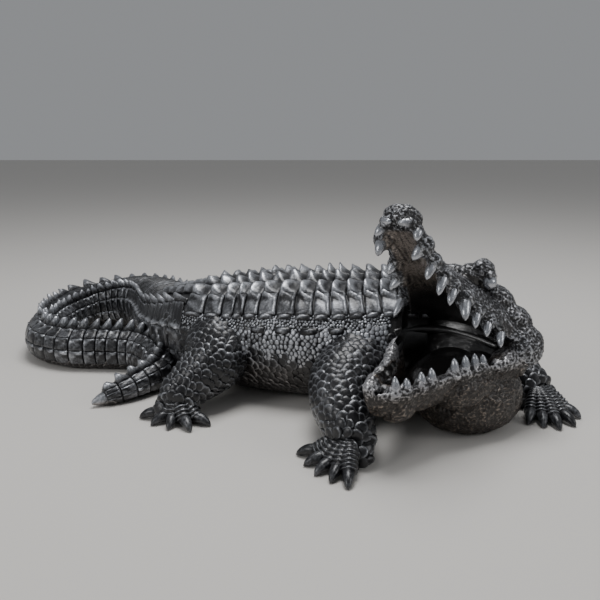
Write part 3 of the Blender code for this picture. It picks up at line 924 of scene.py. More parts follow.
def lay_tile(sheet, place, span, row, profile, steps, slant=0.0, sink=0.004, lean=0.0, upright=0.0, across=0):
    """A tile centred at a distance, so long, between two angles, raised by profile(u, v)."""
    across = across or max(FEWEST_STEPS, steps - 2)
    u, v = np.meshgrid(spaced(max(FEWEST_STEPS, steps)), spaced(across), indexing="ij")
    height, lift = profile(u, v)
    waves = []
    for _ in range(4):
        waves.append(np.sin(hand.uniform(3, 11) * u + hand.uniform(3, 11) * v + hand.uniform(0, 6)))
    dents = sum(waves) / len(waves)
    height = height * (hand.uniform(0.92, 1.10) + 0.22 * dents * (height > 0.0004))
    lift = np.clip(lift * (hand.uniform(0.72, 1.08) + 0.35 * dents), 0, 1)
    width = row[1] - row[0]
    sway = 0.05 * dents * width * (height > 0.0015)
    at = place + span * (u - 0.5) + slant * (v - 0.5)
    degrees = row[0] + width * v
    floor_of_tile, _ = on_back(at, degrees, -sink)
    skin_under, out = on_back(np.minimum(at + lean * height, SPINE_LENGTH), degrees + sway)
    top = skin_under + unit(out + UP * upright) * height[..., None]
    sheet.patch(top, floor_of_tile, lift)


# %% Height profiles of the plates
def edge(t, power=6):
    """1 over most of a tile, falling to 0 at both of its edges."""
    return 1 - abs(2 * t - 1) ** power


def bell(t, middle, width):
    """A soft bump, 1 at its middle."""
    return np.exp(-(((t - middle) / width) ** 2))


def slope(u, peak_at, before, behind):
    """A long slope up to a peak and a steep fall behind it."""
    return np.where(u < peak_at, ease(u, before, peak_at), ease(1 - u, behind, 1 - peak_at))


def keel(peak, high, base=0.0015):
    """Pointed keel: it rises from the head's side to a peak near its rear end."""

    def profile(u, v):
        ramp = slope(u, 0.74, -0.25, -0.08)
        rise = ramp**peak * edge(v, 1.1)
        height = base * edge(u) * edge(v) + high * rise
        return height, np.clip(0.20 * edge(u) * edge(v) + 0.95 * rise + 0.15 * ramp, 0, 1)

    return profile


def thumb(high):
    """Rounded shield whose rear end rises to a lip."""

    def profile(u, v):
        top = 0.84 - 0.22 * abs(2 * v - 1) ** 2
        front, rear = ease(u, -0.10, top) ** 2.4, ease(1 - u, 0.0, 1 - top)
        lip = np.where(u < top, front, rear) * edge(v, 2.2)
        hollow = bell(u, 0.45, 0.16) * bell(v, 0.5, 0.20)
        border = bell(v, 0.93, 0.06) + bell(v, 0.07, 0.06)
        field = edge(u, 8) * edge(v, 8)
        height = 0.0020 * field + high * lip - 0.0008 * hollow + 0.0008 * border
        lift = 0.14 + 0.16 * field + 0.95 * lip - 0.25 * hollow + 0.30 * border
        return height, np.clip(lift * ease(field, 0, 0.5), 0, 1)

    return profile


def shield(thick, lip, shoulder, shine=0.68):
    """Tall flat shield: raised front rim and a shoulder falling from its upper rear corner."""

    def profile(u, v):
        edges = edge(u, 8) * (0.35 + 0.65 * edge(v, 14) ** 0.6)
        ridge = bell(v, 0.10 + 0.30 * (1 - u) ** 1.5, 0.085) * ease(u, -0.3, 0.75)
        rim = bell(u, 0.12, 0.075)
        height = (thick + lip * rim + shoulder * ridge) * edges
        shade = shine - 0.45 * bell(v, 0.32, 0.10) * ease(u, 0.3, 0.9)
        grooves = ease(edge(u, 8), 0, 0.5) * (0.75 + 0.25 * ease(edge(v, 14), 0, 0.5))
        return height, np.clip((shade - 0.10 + 0.45 * ridge + 0.16 * rim) * grooves, 0, 1)

    return profile


def arch(u, v):
    """Small hooded bump under a shield."""
    hood = bell(u, 0.55, 0.28) * bell(v, 0.45, 0.32)
    return 0.0052 * hood * edge(u) * edge(v) + 0.0008, np.clip(0.30 + hood * 0.85, 0, 1)


def boss(u, v):
    """Smooth almond-shaped boss."""
    dome = np.clip(1 - ((2 * u - 1) ** 2 + (2 * v - 1) ** 2), 0, 1) ** 0.6
    return 0.0052 * dome + 0.0004, np.clip(0.75 * dome, 0, 1)


# %% Trunk rows
PLATE_PITCH = 0.0225
TRUNK_FROM, TRUNK_TO = 0.108, 0.45
BOSSES = [0.246, 0.278, 0.310, 0.341]

# Where each row lies, in degrees from the top of the back.
KEEL_ROW = np.array([0.5, 18.0])
THUMB_ROW = np.array([17.5, 35.0])
SHIELD_ROW = np.array([34.0, 58.0])
ARCH_ROW = np.array([57.0, 62.5])
BOSS_ROW = np.array([69.5, 76.0])

THUMB_WAY = {"lean": 0.25, "upright": 0.3}
plates = Sheet()
stations = np.arange(TRUNK_FROM, TRUNK_TO, PLATE_PITCH)
for at in stations:
    shoulder = 0.0070 * (1 - 0.3 * ease(at, 0.34, 0.44))
    for side in (-1, 1):
        lay_tile(plates, at, 0.0222, side * KEEL_ROW, keel(1.7, 0.0120, 0.0020), 13, lean=0.15)
        lay_tile(plates, at, 0.0220, side * THUMB_ROW, thumb(0.0092), 15, slant=0.005, **THUMB_WAY)
        lay_tile(plates, at, 0.0216, side * SHIELD_ROW, shield(0.0024, 0.0018, shoulder), 17, slant=-0.003)
        lay_tile(plates, at, 0.0180, side * ARCH_ROW, arch, 9)
for at in BOSSES:
    for side in (-1, 1):
        lay_tile(plates, at, 0.019, side * BOSS_ROW, boss, 10, sink=0.003)
print("trunk tiles:", 8 * len(stations) + 2 * len(BOSSES))
finish_piece(object_from("back_plates", plates), PLATE_PAINT)

# %% [markdown]
# ## Crests and shields of the tail
#
# Behind the hips two ruffled crests of fins rise on the shoulders of the tail, draw together further
# down and go on as one.  Below them rows of shields run round the tail like rings of armour, with a
# scalloped hollow above them near the hips, and between the crests the hide is ribbed like a comb.
# The spacing shrinks towards the tip, and so do the fins.

# %% Lengths and angles of the tail
FORK_TO, FORK_CLOSES_OVER = 1.16, 0.25
FORK_PATH = ([0.45, 0.52, 0.59, 0.68, 0.80, 0.91, 1.16], [42, 48, 55, 52, 42, 38, 0])
VALLEY_TO, VALLEY_DEGREES = 0.76, 79
SHIELDS_TO_DEGREES = 122
FORKED_CREST_HEIGHT, SINGLE_CREST_HEIGHT = 0.018, 0.022
FIN_HALF_WIDTH = 0.0062
END_RUN, LAST_RUN, TIP_BARE = 0.25, 0.05, 0.018
BACK_ROWS_TO = 0.54
TAIL_KEEL_ROW = np.array([0.5, 15.0])
TAIL_THUMB_ROW = np.array([15.0, 30.0])
PITCH_PLACES = [TRUNK_TO, 0.70, FORK_TO, SPINE_LENGTH - END_RUN, SPINE_LENGTH]
PITCH_SHARES = [1, 1.1, 0.9, 0.86, 0.94]


def fork_at(at):
    """Degrees from the top to each crest."""
    return float(np.interp(at, *FORK_PATH))


def degrees_of(width, at):
    """The angle that a width takes up on the tail's side."""
    return math.degrees(width / float(along_spine(spine[:, 3:4], at)[0]))


def fin(high):
    """Thin fin with a rounded tip, its rear side steep."""

    def profile(u, v):
        ramp = slope(u, 0.66, -0.2, -0.08) ** 1.1
        across = edge(v, 1) ** 0.7
        height = high * ramp * across + 0.0012 * edge(v)
        return height, np.clip(0.12 + 0.95 * across * ramp + 0.25 * across, 0, 1)

    return profile


def valley(u, v):
    """Smooth hollow band with a scalloped lip along its lower edge."""
    edges = edge(u, 10)
    lip = bell(v, 0.93, 0.10) * np.clip(np.sin(math.pi * u), 0, 1) ** 0.5
    upper_rim = bell(v, 0, 0.12)
    comb = 0.5 + 0.5 * np.cos(u * 8 * math.pi)
    height = 0.0010 + (0.0074 * lip + 0.0024 * upper_rim + 0.0009 * comb) * edges
    return height, np.clip(0.24 + 0.22 * comb + 0.75 * lip + 0.40 * upper_rim, 0, 1) * ease(edges, 0, 0.5)


tail_stations = []
at = stations[-1] + PLATE_PITCH
while at < SPINE_LENGTH - TIP_BARE:
    pitch = PLATE_PITCH * np.interp(at, PITCH_PLACES, PITCH_SHARES)
    tail_stations.append((at, pitch))
    at += pitch
print("tail stations:", len(tail_stations))


# %% Tail rows
def back_rows(sheet, at, pitch):
    """The keels and thumbs of the back run on a little way past the hips and grow smaller."""
    size = 1 - 0.35 * (at - TRUNK_TO) / (BACK_ROWS_TO - TRUNK_TO)
    for side in (-1, 1):
        lay_tile(sheet, at, pitch, side * TAIL_KEEL_ROW, keel(1.5, 0.0105 * size), 10, lean=0.15)
        lay_tile(sheet, at, pitch, side * TAIL_THUMB_ROW, thumb(0.0080 * size), 10, **THUMB_WAY)


def tail_ring(sheet, at, pitch):
    """One ring of the tail: the hollow, the shields and the fins of the crests."""
    spread, fin_degrees = fork_at(at), degrees_of(FIN_HALF_WIDTH, at)
    taper = np.interp(at, [SPINE_LENGTH - END_RUN, SPINE_LENGTH - LAST_RUN, SPINE_LENGTH], [1, 0.62, 0.1])
    crest_heights = [FORKED_CREST_HEIGHT, SINGLE_CREST_HEIGHT]
    high = np.interp(at, [FORK_TO - FORK_CLOSES_OVER, FORK_TO], crest_heights) * taper
    two = spread > fin_degrees
    first = (spread if two else 0) + fin_degrees * 0.9
    edges = np.linspace(first, SHIELDS_TO_DEGREES, 4)
    if at < VALLEY_TO:
        edges = np.linspace(VALLEY_DEGREES, SHIELDS_TO_DEGREES, 3)
        for side in (-1, 1):
            lay_tile(sheet, at, pitch, (side * first, side * VALLEY_DEGREES), valley, 14, slant=-0.006)
    plain = shield(0.0024 * taper, 0.0014 * taper, 0.0022 * taper, 0.58)
    for side in (-1, 1):
        for row in zip(side * edges, side * edges[1:]):
            lay_tile(sheet, at, pitch * 0.97, row, plain, 11)
        if two:
            row = (side * (spread - fin_degrees), side * (spread + fin_degrees))
            lay_tile(sheet, at, pitch * 0.98, row, fin(high), 10, lean=0.30, upright=0.8)
    if not two:
        lay_tile(sheet, at, pitch * 0.98, (-fin_degrees, fin_degrees), fin(high), 10, lean=0.30)


tail_tiles = Sheet()
for at, pitch in tail_stations:
    if at < BACK_ROWS_TO:
        back_rows(tail_tiles, at, pitch)
    tail_ring(tail_tiles, at, pitch)
finish_piece(object_from("tail_armour", tail_tiles), PLATE_PAINT)

# %% Ribs between the crests
RIB_PITCH = 0.0058
RIBS_FROM, RIBS_TO = BACK_ROWS_TO - 0.01, FORK_TO - 0.03
RIB_MARGIN = 0.004
NARROWEST_RIB = 4


def rib(at):
    """Half-round rib, its shine broken along its length."""

    def profile(u, v):
        bow = np.sin(math.pi * u)
        return 0.0038 * bow + 0.0002, np.clip(0.10 + bow * (0.80 + 0.20 * np.cos(v * 40 + at * 900)), 0, 1)

    return profile


ribs = Sheet()
for at in np.arange(RIBS_FROM, RIBS_TO, RIB_PITCH):
    reach = fork_at(at) - degrees_of(RIB_MARGIN, at)
    if reach >= NARROWEST_RIB:
        lay_tile(ribs, at, RIB_PITCH * 0.95, (-reach, reach), rib(at), 6, sink=0.002, across=20)
finish_piece(object_from("crest_ribs", ribs), PLATE_PAINT)

# %% [markdown]
# ## Toes and claws
#
# Each foot has five toes, ringed like a caterpillar, with one smooth horn claw that arches to the ground.
# The toe is a tube whose radius pulses along its length, flattened where it stands; the claw is a bent
# cone sunk into the toe's end.

# %% Build the feet
TOE_RADIUS = 0.0112
TOE_HIGH = 0.028
KNUCKLE_HIGH = 0.021
TOE_RING = 0.0054
SOLE = 0.0004
CLAW_LENGTH = 0.025
CLAW_SINK = 0.004
CLAW_RADIUS = 0.0084
CLAW_ARCH = 0.0042


def horn(sheet, root, tip, radius, bend, lift):
    """Cone bent towards a direction, its point a little rounded, with lifts for its root and its body."""
    t = np.linspace(0, 1, 10)
    middle = root + (tip - root) * t[:, None] + bend * (4 * t * (1 - t))[:, None]
    size = radius * (1 - t**1.7) ** 0.5
    size[-1] = radius * 0.08
    path = np.column_stack([middle, size])
    shade = np.interp(t, [0, 0.35, 1], [lift[0], lift[1], lift[1]])
    sheet.loft(tube_rings(path, 12, (0.31, 0.17, 0.93)), shade)


def toe_path(wrist, end):
    """Centre and radius from the palm over the knuckle down to the toe's end."""
    knuckle = wrist * 0.40 + end * 0.60
    knuckle[2] = KNUCKLE_HIGH
    start = wrist * 0.80 + end * 0.20
    start[2] = TOE_HIGH
    places = [(*start, TOE_RADIUS * 0.80), (*knuckle, TOE_RADIUS * 0.98), (*end, TOE_RADIUS * 0.92)]
    return smooth_path(places, 0.0011)


feet = Sheet()
claws = Sheet()
for name in LEGS:
    wrist, tips, _ = foot_frame(name)
    for tip in tips:
        reach = unit((tip - wrist) * (1, 1, 0))
        end = tip - reach * CLAW_LENGTH
        end[2] = TOE_RADIUS * 0.8
        path = toe_path(wrist, end)
        wave = abs(np.sin(math.pi * run_along(path[:, :3]) / TOE_RING))
        path[:, 3] *= 0.82 + 0.19 * wave
        path[-1, 3] *= 0.7
        rings = tube_rings(path, 14)
        rings[..., 2] = np.maximum(rings[..., 2], SOLE)
        feet.loft(rings, np.clip(wave**3 * 0.95 - 0.05, 0, 1))
        horn(claws, end - reach * CLAW_SINK, tip, CLAW_RADIUS, UP * CLAW_ARCH, (0.0, 0.60))
finish_piece(object_from("toes", feet), LEG_PAINT)
finish_piece(object_from("claws", claws), LEG_PAINT)

# %% [markdown]
# ## The head
#
# Two jaws gape from one hinge.  Each jaw is lofted with a domed outer side and a channel on the mouth's
# side, then lumps are added where bone and muscle push up the hide: brows, cheeks, nostrils, lips and a
# swelling at the root of every tooth.  A fine voxel remesh melts them.  The bark-like wrinkles are carved
# by moving each point of that skin along its normal by ridged noise drawn out along the jaw.  A bump in
# the material would be cheaper, but the wrinkles are deep enough to break the outline.

# %% Lumps, teeth and eyes
# Lumps in the jaw's own directions: place from the hinge, then half sizes.  Those of the upper jaw
# that lie beside its middle stand on both sides.
UPPER_LUMPS = [
    ((-0.014, 0.000, 0.004), (0.040, 0.084, 0.060)),
    ((0.250, 0.000, 0.022), (0.020, 0.024, 0.014)),
    ((0.070, 0.000, 0.045), (0.038, 0.034, 0.026)),
    ((0.082, 0.024, 0.051), (0.026, 0.020, 0.020)),
    ((0.084, 0.038, 0.062), (0.024, 0.015, 0.018)),
    ((0.030, 0.044, 0.048), (0.042, 0.030, 0.022)),
    ((0.010, 0.066, 0.034), (0.038, 0.028, 0.024)),
    ((-0.004, 0.086, 0.012), (0.034, 0.026, 0.030)),
]
LOWER_LUMPS = [
    ((0.022, 0.024, -0.062), (0.080, 0.074, 0.053)),
    ((0.047, 0.041, -0.034), (0.078, 0.038, 0.035)),
    ((0.018, 0.078, -0.005), (0.045, 0.018, 0.016)),
    ((-0.018, 0.090, -0.008), (0.018, 0.015, 0.016)),
    ((0.045, 0.010, -0.026), (0.095, 0.040, 0.026)),
]
EYE_PLACE = np.array([0.087, 0.052, 0.048])
EYE_RADIUS = 0.009

# Teeth: distance from the hinge, length, radius and, in the upper jaw, how far they lean outwards.
UPPER_TEETH = [
    (0.226, 0.019, 0.0084, -0.25),
    (0.194, 0.021, 0.0072, 0.00),
    (0.166, 0.024, 0.0070, 0.10),
    (0.141, 0.022, 0.0070, 0.12),
    (0.117, 0.028, 0.0086, 0.35),
    (0.090, 0.022, 0.0070, 0.20),
    (0.068, 0.020, 0.0070, 0.20),
    (0.047, 0.022, 0.0070, 0.35),
]
FAR_UPPER_TEETH = [
    (0.232, 0.022, 0.0084, -0.10),
    (0.182, 0.015, 0.0070, 0.15),
    (0.146, 0.018, 0.0076, 0.35),
    (0.096, 0.029, 0.0070, 0.10),
]
LOWER_TEETH = [
    (0.214, 0.019, 0.0064),
    (0.199, 0.014, 0.0064),
    (0.175, 0.016, 0.0068),
    (0.158, 0.017, 0.0066),
    (0.118, 0.021, 0.0070),
    (0.099, 0.021, 0.0070),
    (0.083, 0.020, 0.0068),
    (0.069, 0.016, 0.0066),
]
FRONT_TOOTH = (0.255, 0.018, 0.013)
FRONT_TOOTH_LENGTH = 0.011
FRONT_TOOTH_RADIUS = 0.0064
SIDE_TOOTH = (0.246, 0.008, 0.0062, 0.25)
print("eye from the hinge, mm:", EYE_PLACE * 1000)

# %% Shape of the jaws
CHANNEL_SHARE = 0.74
DOME_POWER = 0.85
TOOTH_INSET = 0.88
FAR_SIDE_NARROWS = 0.26


def in_jaw(pitch, place):
    """A place given from the hinge in a jaw's own directions."""
    return HINGE + np.array(place) @ head_axes(pitch)


def far_share(pitch, along):
    """The lower jaw is a little narrower on the side turned away, as the clay was pinched there."""
    return 1 - FAR_SIDE_NARROWS * ease(along, 0.08, 0.17) * (pitch == LOWER_PITCH)


def jaw_rings(rows, pitch, outward):
    """Rings of a jaw: a dome on the outer side and a channel on the mouth's side."""
    _, left, up = head_axes(pitch)
    dome = np.linspace(math.pi, 0, 17)
    across = np.linspace(1, -1, 9)
    hollow = np.sqrt(1 - across**2)
    rings = []
    path = smooth_path([(along, 0, 0, *sizes) for along, *sizes in rows], 0.006)
    for along, _, _, width, height, channel, lift in path:
        x = np.concatenate([np.cos(dome), across * CHANNEL_SHARE]) * width
        x[x < 0] *= far_share(pitch, along)
        z = np.concatenate([np.sin(dome) ** DOME_POWER * height, channel * hollow]) * outward + lift
        rings.append(in_jaw(pitch, (along, 0, 0)) + np.outer(x, left) + np.outer(z, up))
    return rings


def rim_point(rows, pitch, along, side):
    """Where a tooth stands on the rim of a jaw."""
    table = np.array(rows)
    width = np.interp(along, table[:, 0], table[:, 1])
    lift = np.interp(along, table[:, 0], table[:, 4])
    width = width * float(far_share(pitch, along)) if side < 0 else width
    return in_jaw(pitch, (along, side * width * TOOTH_INSET, lift))


print("lengths of the jaws, mm:", UPPER_JAW[-1][0] * 1000, LOWER_JAW[-1][0] * 1000)

# %% Carve a jaw
BARK_GRAIN = (130, 240, 240)
FOLD_GRAIN = (32, 58, 58)
STREAK_GRAIN = (30, 240, 240)
LINING_DEPTH = 0.0010
LIP_RUN = 0.018


def noise_at(points, seed):
    """Ridged noise for each point, from 0 in the pits to 1 on the ridges."""
    shift = Vector((seed * 3.1, seed * 1.7, seed * 0.9))
    ridged = noise.ridged_multi_fractal
    found = np.array([ridged(Vector(p) + shift, 0.9, 2.1, 2, 1.0, 2.0) for p in points.tolist()])
    low_end, high_end = np.percentile(found, (2, 98))
    return np.clip((found - low_end) / (high_end - low_end), 0, 1)


def roundness(data):
    """Above 0.5 on ridges and below it in creases, from how each point stands out from its neighbours."""
    points = points_of(data)
    ends = np.empty(len(data.edges) * 2, int)
    data.edges.foreach_get("vertices", ends)
    one, two = ends.reshape(-1, 2).T
    total = np.zeros_like(points)
    for axis in range(3):
        total[:, axis] += np.bincount(one, points[two, axis], len(points))
        total[:, axis] += np.bincount(two, points[one, axis], len(points))
    count = np.bincount(one, minlength=len(points)) + np.bincount(two, minlength=len(points))
    stands = ((points - total / count[:, None]) * normals_of(data)).sum(-1)
    for _ in range(2):
        spread = np.bincount(one, stands[two], len(points)) + np.bincount(two, stands[one], len(points))
        stands = 0.5 * stands + 0.5 * spread / count
    return np.clip(0.5 + stands / (3.2 * stands.std()), 0, 1)


def mouth_side(local, normals, rows, pitch, outward):
    """1 where the skin lines the mouth, and how far across the jaw each point lies, -1 to 1 on its rims."""
    along, across, high = local.T
    forward, _, up = head_axes(pitch)
    table = np.array(rows)
    width = np.interp(along, table[:, 0], table[:, 1])
    share = across / (width * np.where(across < 0, far_share(pitch, along), 1))

    # The channel faces the other jaw and ends at the rims, short of the lip; the lower jaw's far rim is
    # broader.  The wall behind the hinge faces forwards.
    far_wall = (across < 0) * (outward < 0) * ease(along, 0.05, 0.10)
    limit = CHANNEL_SHARE * 1.04 - 0.20 * far_wall
    inside = ease((normals @ up) * -outward, -0.1, 0.35) * ease(limit - abs(share), 0, 0.08)
    inside = inside * ease(along, -0.07, -0.05) * (abs(high) < 0.045)
    inside = inside * ease(table[-1, 0] - LIP_RUN - along, 0, 0.006)
    back_wall = ease(normals @ forward, 0.1, 0.5) * (along < 0.055) * (abs(across) < 0.082)
    return np.maximum(inside, back_wall * (high * outward < 0.014)), share


def carve(thing, rows, pitch, outward, depth, seed, warm, rim_silver_and_underside_shade):
    """Wrinkle the outer hide, streak the mouth's lining and store lift, wet and the brown number, whose
    underside part is painted shade.
    """
    data = thing.data
    points = points_of(data) + MIDDLE
    normals = normals_of(data)
    local = (points - HINGE) @ head_axes(pitch).T
    along, _, high = local.T
    inside, share = mouth_side(local, normals, rows, pitch, outward)
    hide = noise_at(local * BARK_GRAIN, seed) * 0.55 + noise_at(local * FOLD_GRAIN, seed + 5) * 0.45
    streak = noise_at(local * STREAK_GRAIN, seed + 9)

    # The upper mouth is wet only far back, the lower one up to its lip.
    deep = ease(0.18 - along, 0.0, 0.09)
    if outward < 0:
        deep = ease(rows[-1][0] - LIP_RUN - along, 0.0, 0.012)
    below = ease(high * outward, 0.004, 0.022)

    # The far rim of the lower jaw is worn smoother and brighter than the rest of the hide.
    far_rim = ease(-share, 0.45, 0.75) * (outward < 0) * (1 - below)
    wrinkles = (hide - 0.6) * depth * (1 - inside) * (1 - 0.6 * far_rim)
    lining = (streak - 0.5) * LINING_DEPTH * inside * (1 - deep)
    set_points(data, points - MIDDLE + normals * (wrinkles + lining)[:, None])
    lift = 0.85 * roundness(data) + 0.30 * hide - 0.13
    # On the lower jaw lift rises along the rim and falls underneath: silver on the raised rim, and painted
    # shade under the jaw.
    lift = lift + rim_silver_and_underside_shade * (0.5 - below) + 0.22 * far_rim
    lift = lift * (1 - inside) + inside * (0.58 + 0.45 * streak)
    put_numbers(data, "lift", lift)
    put_numbers(data, "wet", inside * deep)
    # The brown number grows towards each jaw's outer side.  Under the lower jaw its browner, darker paint is
    # painted shade and painted floor reflection; inside the mouth it is the lining's brown wash.
    put_numbers(data, "warm", np.clip(warm * (0.25 + 0.75 * below) + inside * 0.8, 0, 1))


# %% Teeth in their gums
# Side 1 is the near side of the head and side -1 the far side.
ROOT_SINK, GUM_SINK = 0.006, 0.003
TOOTH_LIFT = (0.1, 0.95)
TOOTH_BEND, SMALL_BEND = 0.0012, 0.0010
upper_flesh, lower_flesh, teeth = Sheet(), Sheet(), Sheet()
upper, lower = head_axes(UPPER_PITCH), head_axes(LOWER_PITCH)


def jaw_ball(flesh, pitch, place, radii, rings=6, sides=10):
    """Ellipsoid placed and turned in a jaw's own directions."""
    ball(flesh, in_jaw(pitch, place), radii, head_axes(pitch), rings, sides)


def add_tooth(root, way, length, radius, bend):
    """A tooth of so much length outside the gum."""
    horn(teeth, root, root + way * (length + ROOT_SINK), radius, bend, TOOTH_LIFT)


def gum(flesh, place, radius):
    """Swelling of the gum round a tooth."""
    ball(flesh, place, (radius * 1.45, radius * 1.45, radius * 1.7), rings=6, sides=10)


def upper_tooth(side, along, length, radius, lean, bend):
    """A tooth that hangs from the upper rim; gives its place on the rim."""
    rim = rim_point(UPPER_JAW, UPPER_PITCH, along, side)
    way = unit(upper[1] * side * lean - upper[2])
    add_tooth(rim + upper[2] * ROOT_SINK, way, length, radius, upper[0] * bend)
    return rim


for side in (-1, 1):
    for along, length, radius, lean in UPPER_TEETH if side > 0 else FAR_UPPER_TEETH:
        rim = upper_tooth(side, along, length, radius, lean, TOOTH_BEND)
        gum(upper_flesh, rim + upper[2] * GUM_SINK, radius)
    root = in_jaw(UPPER_PITCH, np.multiply(FRONT_TOOTH, (1, side, 1)))
    way = unit(upper[0] * 0.45 - upper[2] * 0.35 - upper[1] * side * 0.8)
    add_tooth(root, way, FRONT_TOOTH_LENGTH, FRONT_TOOTH_RADIUS, upper[0] * SMALL_BEND)
    upper_tooth(side, *SIDE_TOOTH, SMALL_BEND)
for along, length, radius in LOWER_TEETH:
    rim = rim_point(LOWER_JAW, LOWER_PITCH, along, 1)
    add_tooth(rim - lower[2] * ROOT_SINK, lower[2], length, radius, lower[1] * TOOTH_BEND)
    gum(lower_flesh, rim - lower[2] * GUM_SINK, radius)
print("tooth shells:", len(teeth.points))

# %% Flesh of the upper jaw
NOSTRIL = ((0.254, 0.008, 0.028), (0.011, 0.007, 0.008))
UPPER_LIP = ((0.256, 0.014, 0.013), (0.008, 0.009, 0.008))
LID_RADIUS = 0.0042
LID_ALONG, LID_OUT, LID_HIGH = 0.013, 0.001, 0.011

upper_flesh.loft(jaw_rings(UPPER_JAW, UPPER_PITCH, 1))
for place, radii in UPPER_LUMPS:
    for side in (-1, 1) if place[1] else (1,):
        jaw_ball(upper_flesh, UPPER_PITCH, np.multiply(place, (1, side, 1)), radii, 10, 16)
for side in (-1, 1):
    for place, radii in (NOSTRIL, UPPER_LIP):
        jaw_ball(upper_flesh, UPPER_PITCH, np.multiply(place, (1, side, 1)), radii)
    for turn in np.linspace(-1.2, 1.2, 9):
        over = np.array([math.sin(turn) * LID_ALONG, side * LID_OUT, math.cos(turn) * LID_HIGH])
        jaw_ball(upper_flesh, UPPER_PITCH, EYE_PLACE * (1, side, 1) + over, [LID_RADIUS] * 3, 5, 8)

# %% Flesh of the lower jaw
# The far rim has no teeth in sight: a row of swellings that grow and draw inwards to the front.
RIM_SWELLINGS = np.arange(0.055, 0.222, 0.011)
LIP_RADIUS = 0.0085
CHIN = ((0.190, 0.012, -0.030), (0.026, 0.022, 0.019))

lower_flesh.loft(jaw_rings(LOWER_JAW, LOWER_PITCH, -1))
for place, radii in LOWER_LUMPS:
    jaw_ball(lower_flesh, LOWER_PITCH, place, radii, 14, 24)
for along in RIM_SWELLINGS:
    grown = ease(along, 0.10, 0.17)
    swell = 0.0086 + 0.0026 * grown + 0.0014 * math.sin(along * 330)
    inward = lower[1] * (0.004 + 0.004 * grown) + lower[2] * 0.005 * ease(0.19 - along, 0, 0.07)
    ball(lower_flesh, rim_point(LOWER_JAW, LOWER_PITCH, along, -1) + inward, [swell] * 3, lower, 6, 10)
for side in (-0.7, -0.2, 0.3, 0.8):
    lip = (0.208 - abs(side) * 0.004, side * 0.016, -0.009)
    jaw_ball(lower_flesh, LOWER_PITCH, lip, [LIP_RADIUS] * 3)
jaw_ball(lower_flesh, LOWER_PITCH, *CHIN, 8, 14)

# %% Melt and carve both jaws
HEAD_VOXEL = 0.0016
upper_jaw = fuse("upper_jaw", upper_flesh, HEAD_VOXEL, 2)
carve(upper_jaw, UPPER_JAW, UPPER_PITCH, 1, 0.0042, 2, 0.12, 0.0)
lower_jaw = fuse("lower_jaw", lower_flesh, HEAD_VOXEL, 2)
# The lower jaw takes the full brown number and a rim value of 0.36, which paint its underside darker as
# painted shade.
carve(lower_jaw, LOWER_JAW, LOWER_PITCH, -1, 0.0038, 7, 1.0, 0.36)
cut_flat(lower_jaw.data)
finish_piece(upper_jaw, HEAD_PAINT)
finish_piece(lower_jaw, HEAD_PAINT)
finish_piece(object_from("teeth", teeth), BRIGHT_PAINT)

# %% [markdown]
# ## The hollow behind the jaws
#
# Deep in the open mouth the casting is a smooth black hollow: a wall of flesh closes it behind the hinge,
# one soft fold crosses that wall from cheek to cheek and catches a thin line of light, which a painted sheen
# makes a little lighter, and a web of cheek stretches between the two far rims.  A ball, a tube and a bowed
# sheet are enough, sunk into the jaws so that no gap opens at their edges.

# %% Close the mouth's back
GULLET_PLACE, GULLET_RADII = (-0.018, -0.006, 0.004), (0.038, 0.080, 0.046)
FOLD_RADIUS = 0.0055
FOLD_PLACES = [
    (0.056, -0.072, 0.012),
    (0.034, -0.050, 0.016),
    (0.018, -0.015, 0.017),
    (0.014, 0.020, 0.014),
    (0.014, 0.062, 0.006),
]
WEB_BACK, WEB_UPPER_RUN, WEB_LOWER_RUN = -0.03, 0.108, 0.118
WEB_RIM = -0.98
WEB_BOW, WEB_INSET, WEB_THICK = 0.010, 0.003, 0.007

gullet = Sheet()
ball(gullet, in_jaw(LOWER_PITCH, GULLET_PLACE), GULLET_RADII, lower, 20, 32, 0.1)
fold = smooth_path([(*in_jaw(LOWER_PITCH, place), FOLD_RADIUS) for place in FOLD_PLACES], 0.003)
# The fold's lift of 0.25, above the wall's 0.1, paints it a little lighter: a painted sheen along its line of
# light.
gullet.loft(tube_rings(fold, 10), 0.25)
down = np.linspace(0, 1, 9)[:, None]
web = []
for share in np.linspace(0, 1, 14):
    above = rim_point(UPPER_JAW, UPPER_PITCH, WEB_UPPER_RUN * share + WEB_BACK, WEB_RIM)
    below = rim_point(LOWER_JAW, LOWER_PITCH, WEB_LOWER_RUN * share + WEB_BACK, WEB_RIM)
    bow = lower[1] * WEB_BOW * share * np.sin(math.pi * down)
    inner = above + (below - above) * down + bow + lower[1] * WEB_INSET
    web.append(np.vstack([inner, (inner - lower[1] * WEB_THICK)[::-1]]))
gullet.loft(web, 0.1)
throat = object_from("throat", gullet)
put_numbers(throat.data, "wet", np.full(len(throat.data.vertices), 0.9))
finish_piece(throat, HEAD_PAINT)

# %% Eyes
EYE_LIFT = 0.95
eyes = Sheet()
for side in (-1, 1):
    ball(eyes, in_jaw(UPPER_PITCH, EYE_PLACE * (1, side, 1)), [EYE_RADIUS] * 3, upper, 14, 24, EYE_LIFT)
finish_piece(object_from("eyes", eyes), BRIGHT_PAINT)

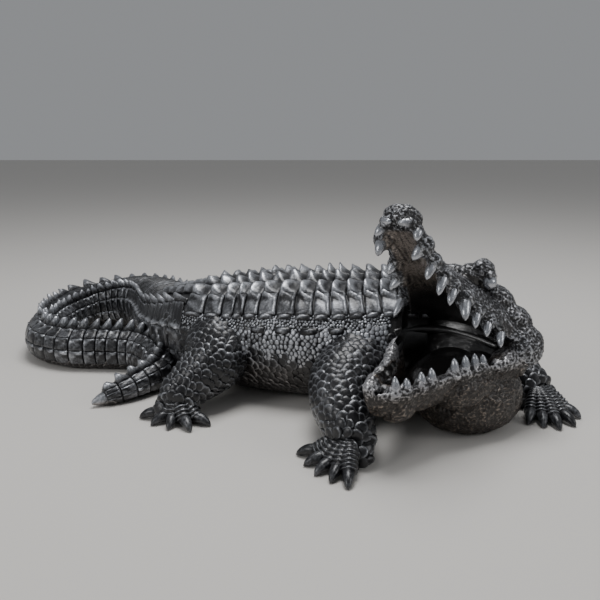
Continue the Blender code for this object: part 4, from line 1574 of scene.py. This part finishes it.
# %% [markdown]
# ## Floor, light and camera
#
# A plain pale floor and soft panels of light, as for a catalogue picture.  Brushed metal paint shows
# little colour of its own and mostly mirrors its surroundings, so the panels are large: one overhead,
# one from the left and a weak one from the right.

# %% Stage
floor_data = bpy.data.meshes.new("floor")
floor_data.from_pydata([(-6, -6, 0), (6, -6, 0), (6, 9, 0), (-6, 9, 0)], [], [(0, 1, 2, 3)])
floor = bpy.data.objects.new("floor", floor_data)
bpy.context.scene.collection.objects.link(floor)
pale = bpy.data.materials.new("floor_pale")
pale.use_nodes = True
pale_shader = pale.node_tree.nodes["Principled BSDF"]
pale_shader.inputs["Base Color"].default_value = (0.62, 0.60, 0.57, 1)
pale_shader.inputs["Roughness"].default_value = 0.8
floor_data.materials.append(pale)

world = bpy.context.scene.world or bpy.data.worlds.new("World")
bpy.context.scene.world = world
world.use_nodes = True
sky = world.node_tree.nodes["Background"]
sky.inputs["Color"].default_value = (0.80, 0.82, 0.85, 1)
sky.inputs["Strength"].default_value = 0.34


# %% Light and camera
CAMERA_PLACE = (0.05400, -1.06756, 0.386)
CAMERA_DOWN = 13.5


def panel(name, place, aim, size, power):
    """A square panel of soft light that faces a point."""
    lamp = bpy.data.lights.new(name, "AREA")
    lamp.shape = "SQUARE"
    lamp.size = size
    lamp.energy = power
    thing = bpy.data.objects.new(name, lamp)
    thing.location = place
    thing.rotation_euler = (Vector(aim) - Vector(place)).to_track_quat("-Z", "Y").to_euler()
    bpy.context.scene.collection.objects.link(thing)


panel("overhead", (0.1, 0.1, 2.1), (0, 0, 0), 1.1, 36)
panel("left", (-1.9, -1.5, 1.3), (0, 0, 0.1), 0.9, 14)
panel("right", (2.0, -1.0, 1.2), (0, 0, 0.1), 0.9, 8)

eye = bpy.data.cameras.new("camera")
eye.lens = 42
eye.sensor_width = 36
camera = bpy.data.objects.new("camera", eye)
camera.location = CAMERA_PLACE
camera.rotation_euler = (math.radians(90 - CAMERA_DOWN), 0, 0)
bpy.context.scene.collection.objects.link(camera)
bpy.context.scene.camera = camera

# %% Close the frame
print("triangles in all:", sum(pieces.values()))
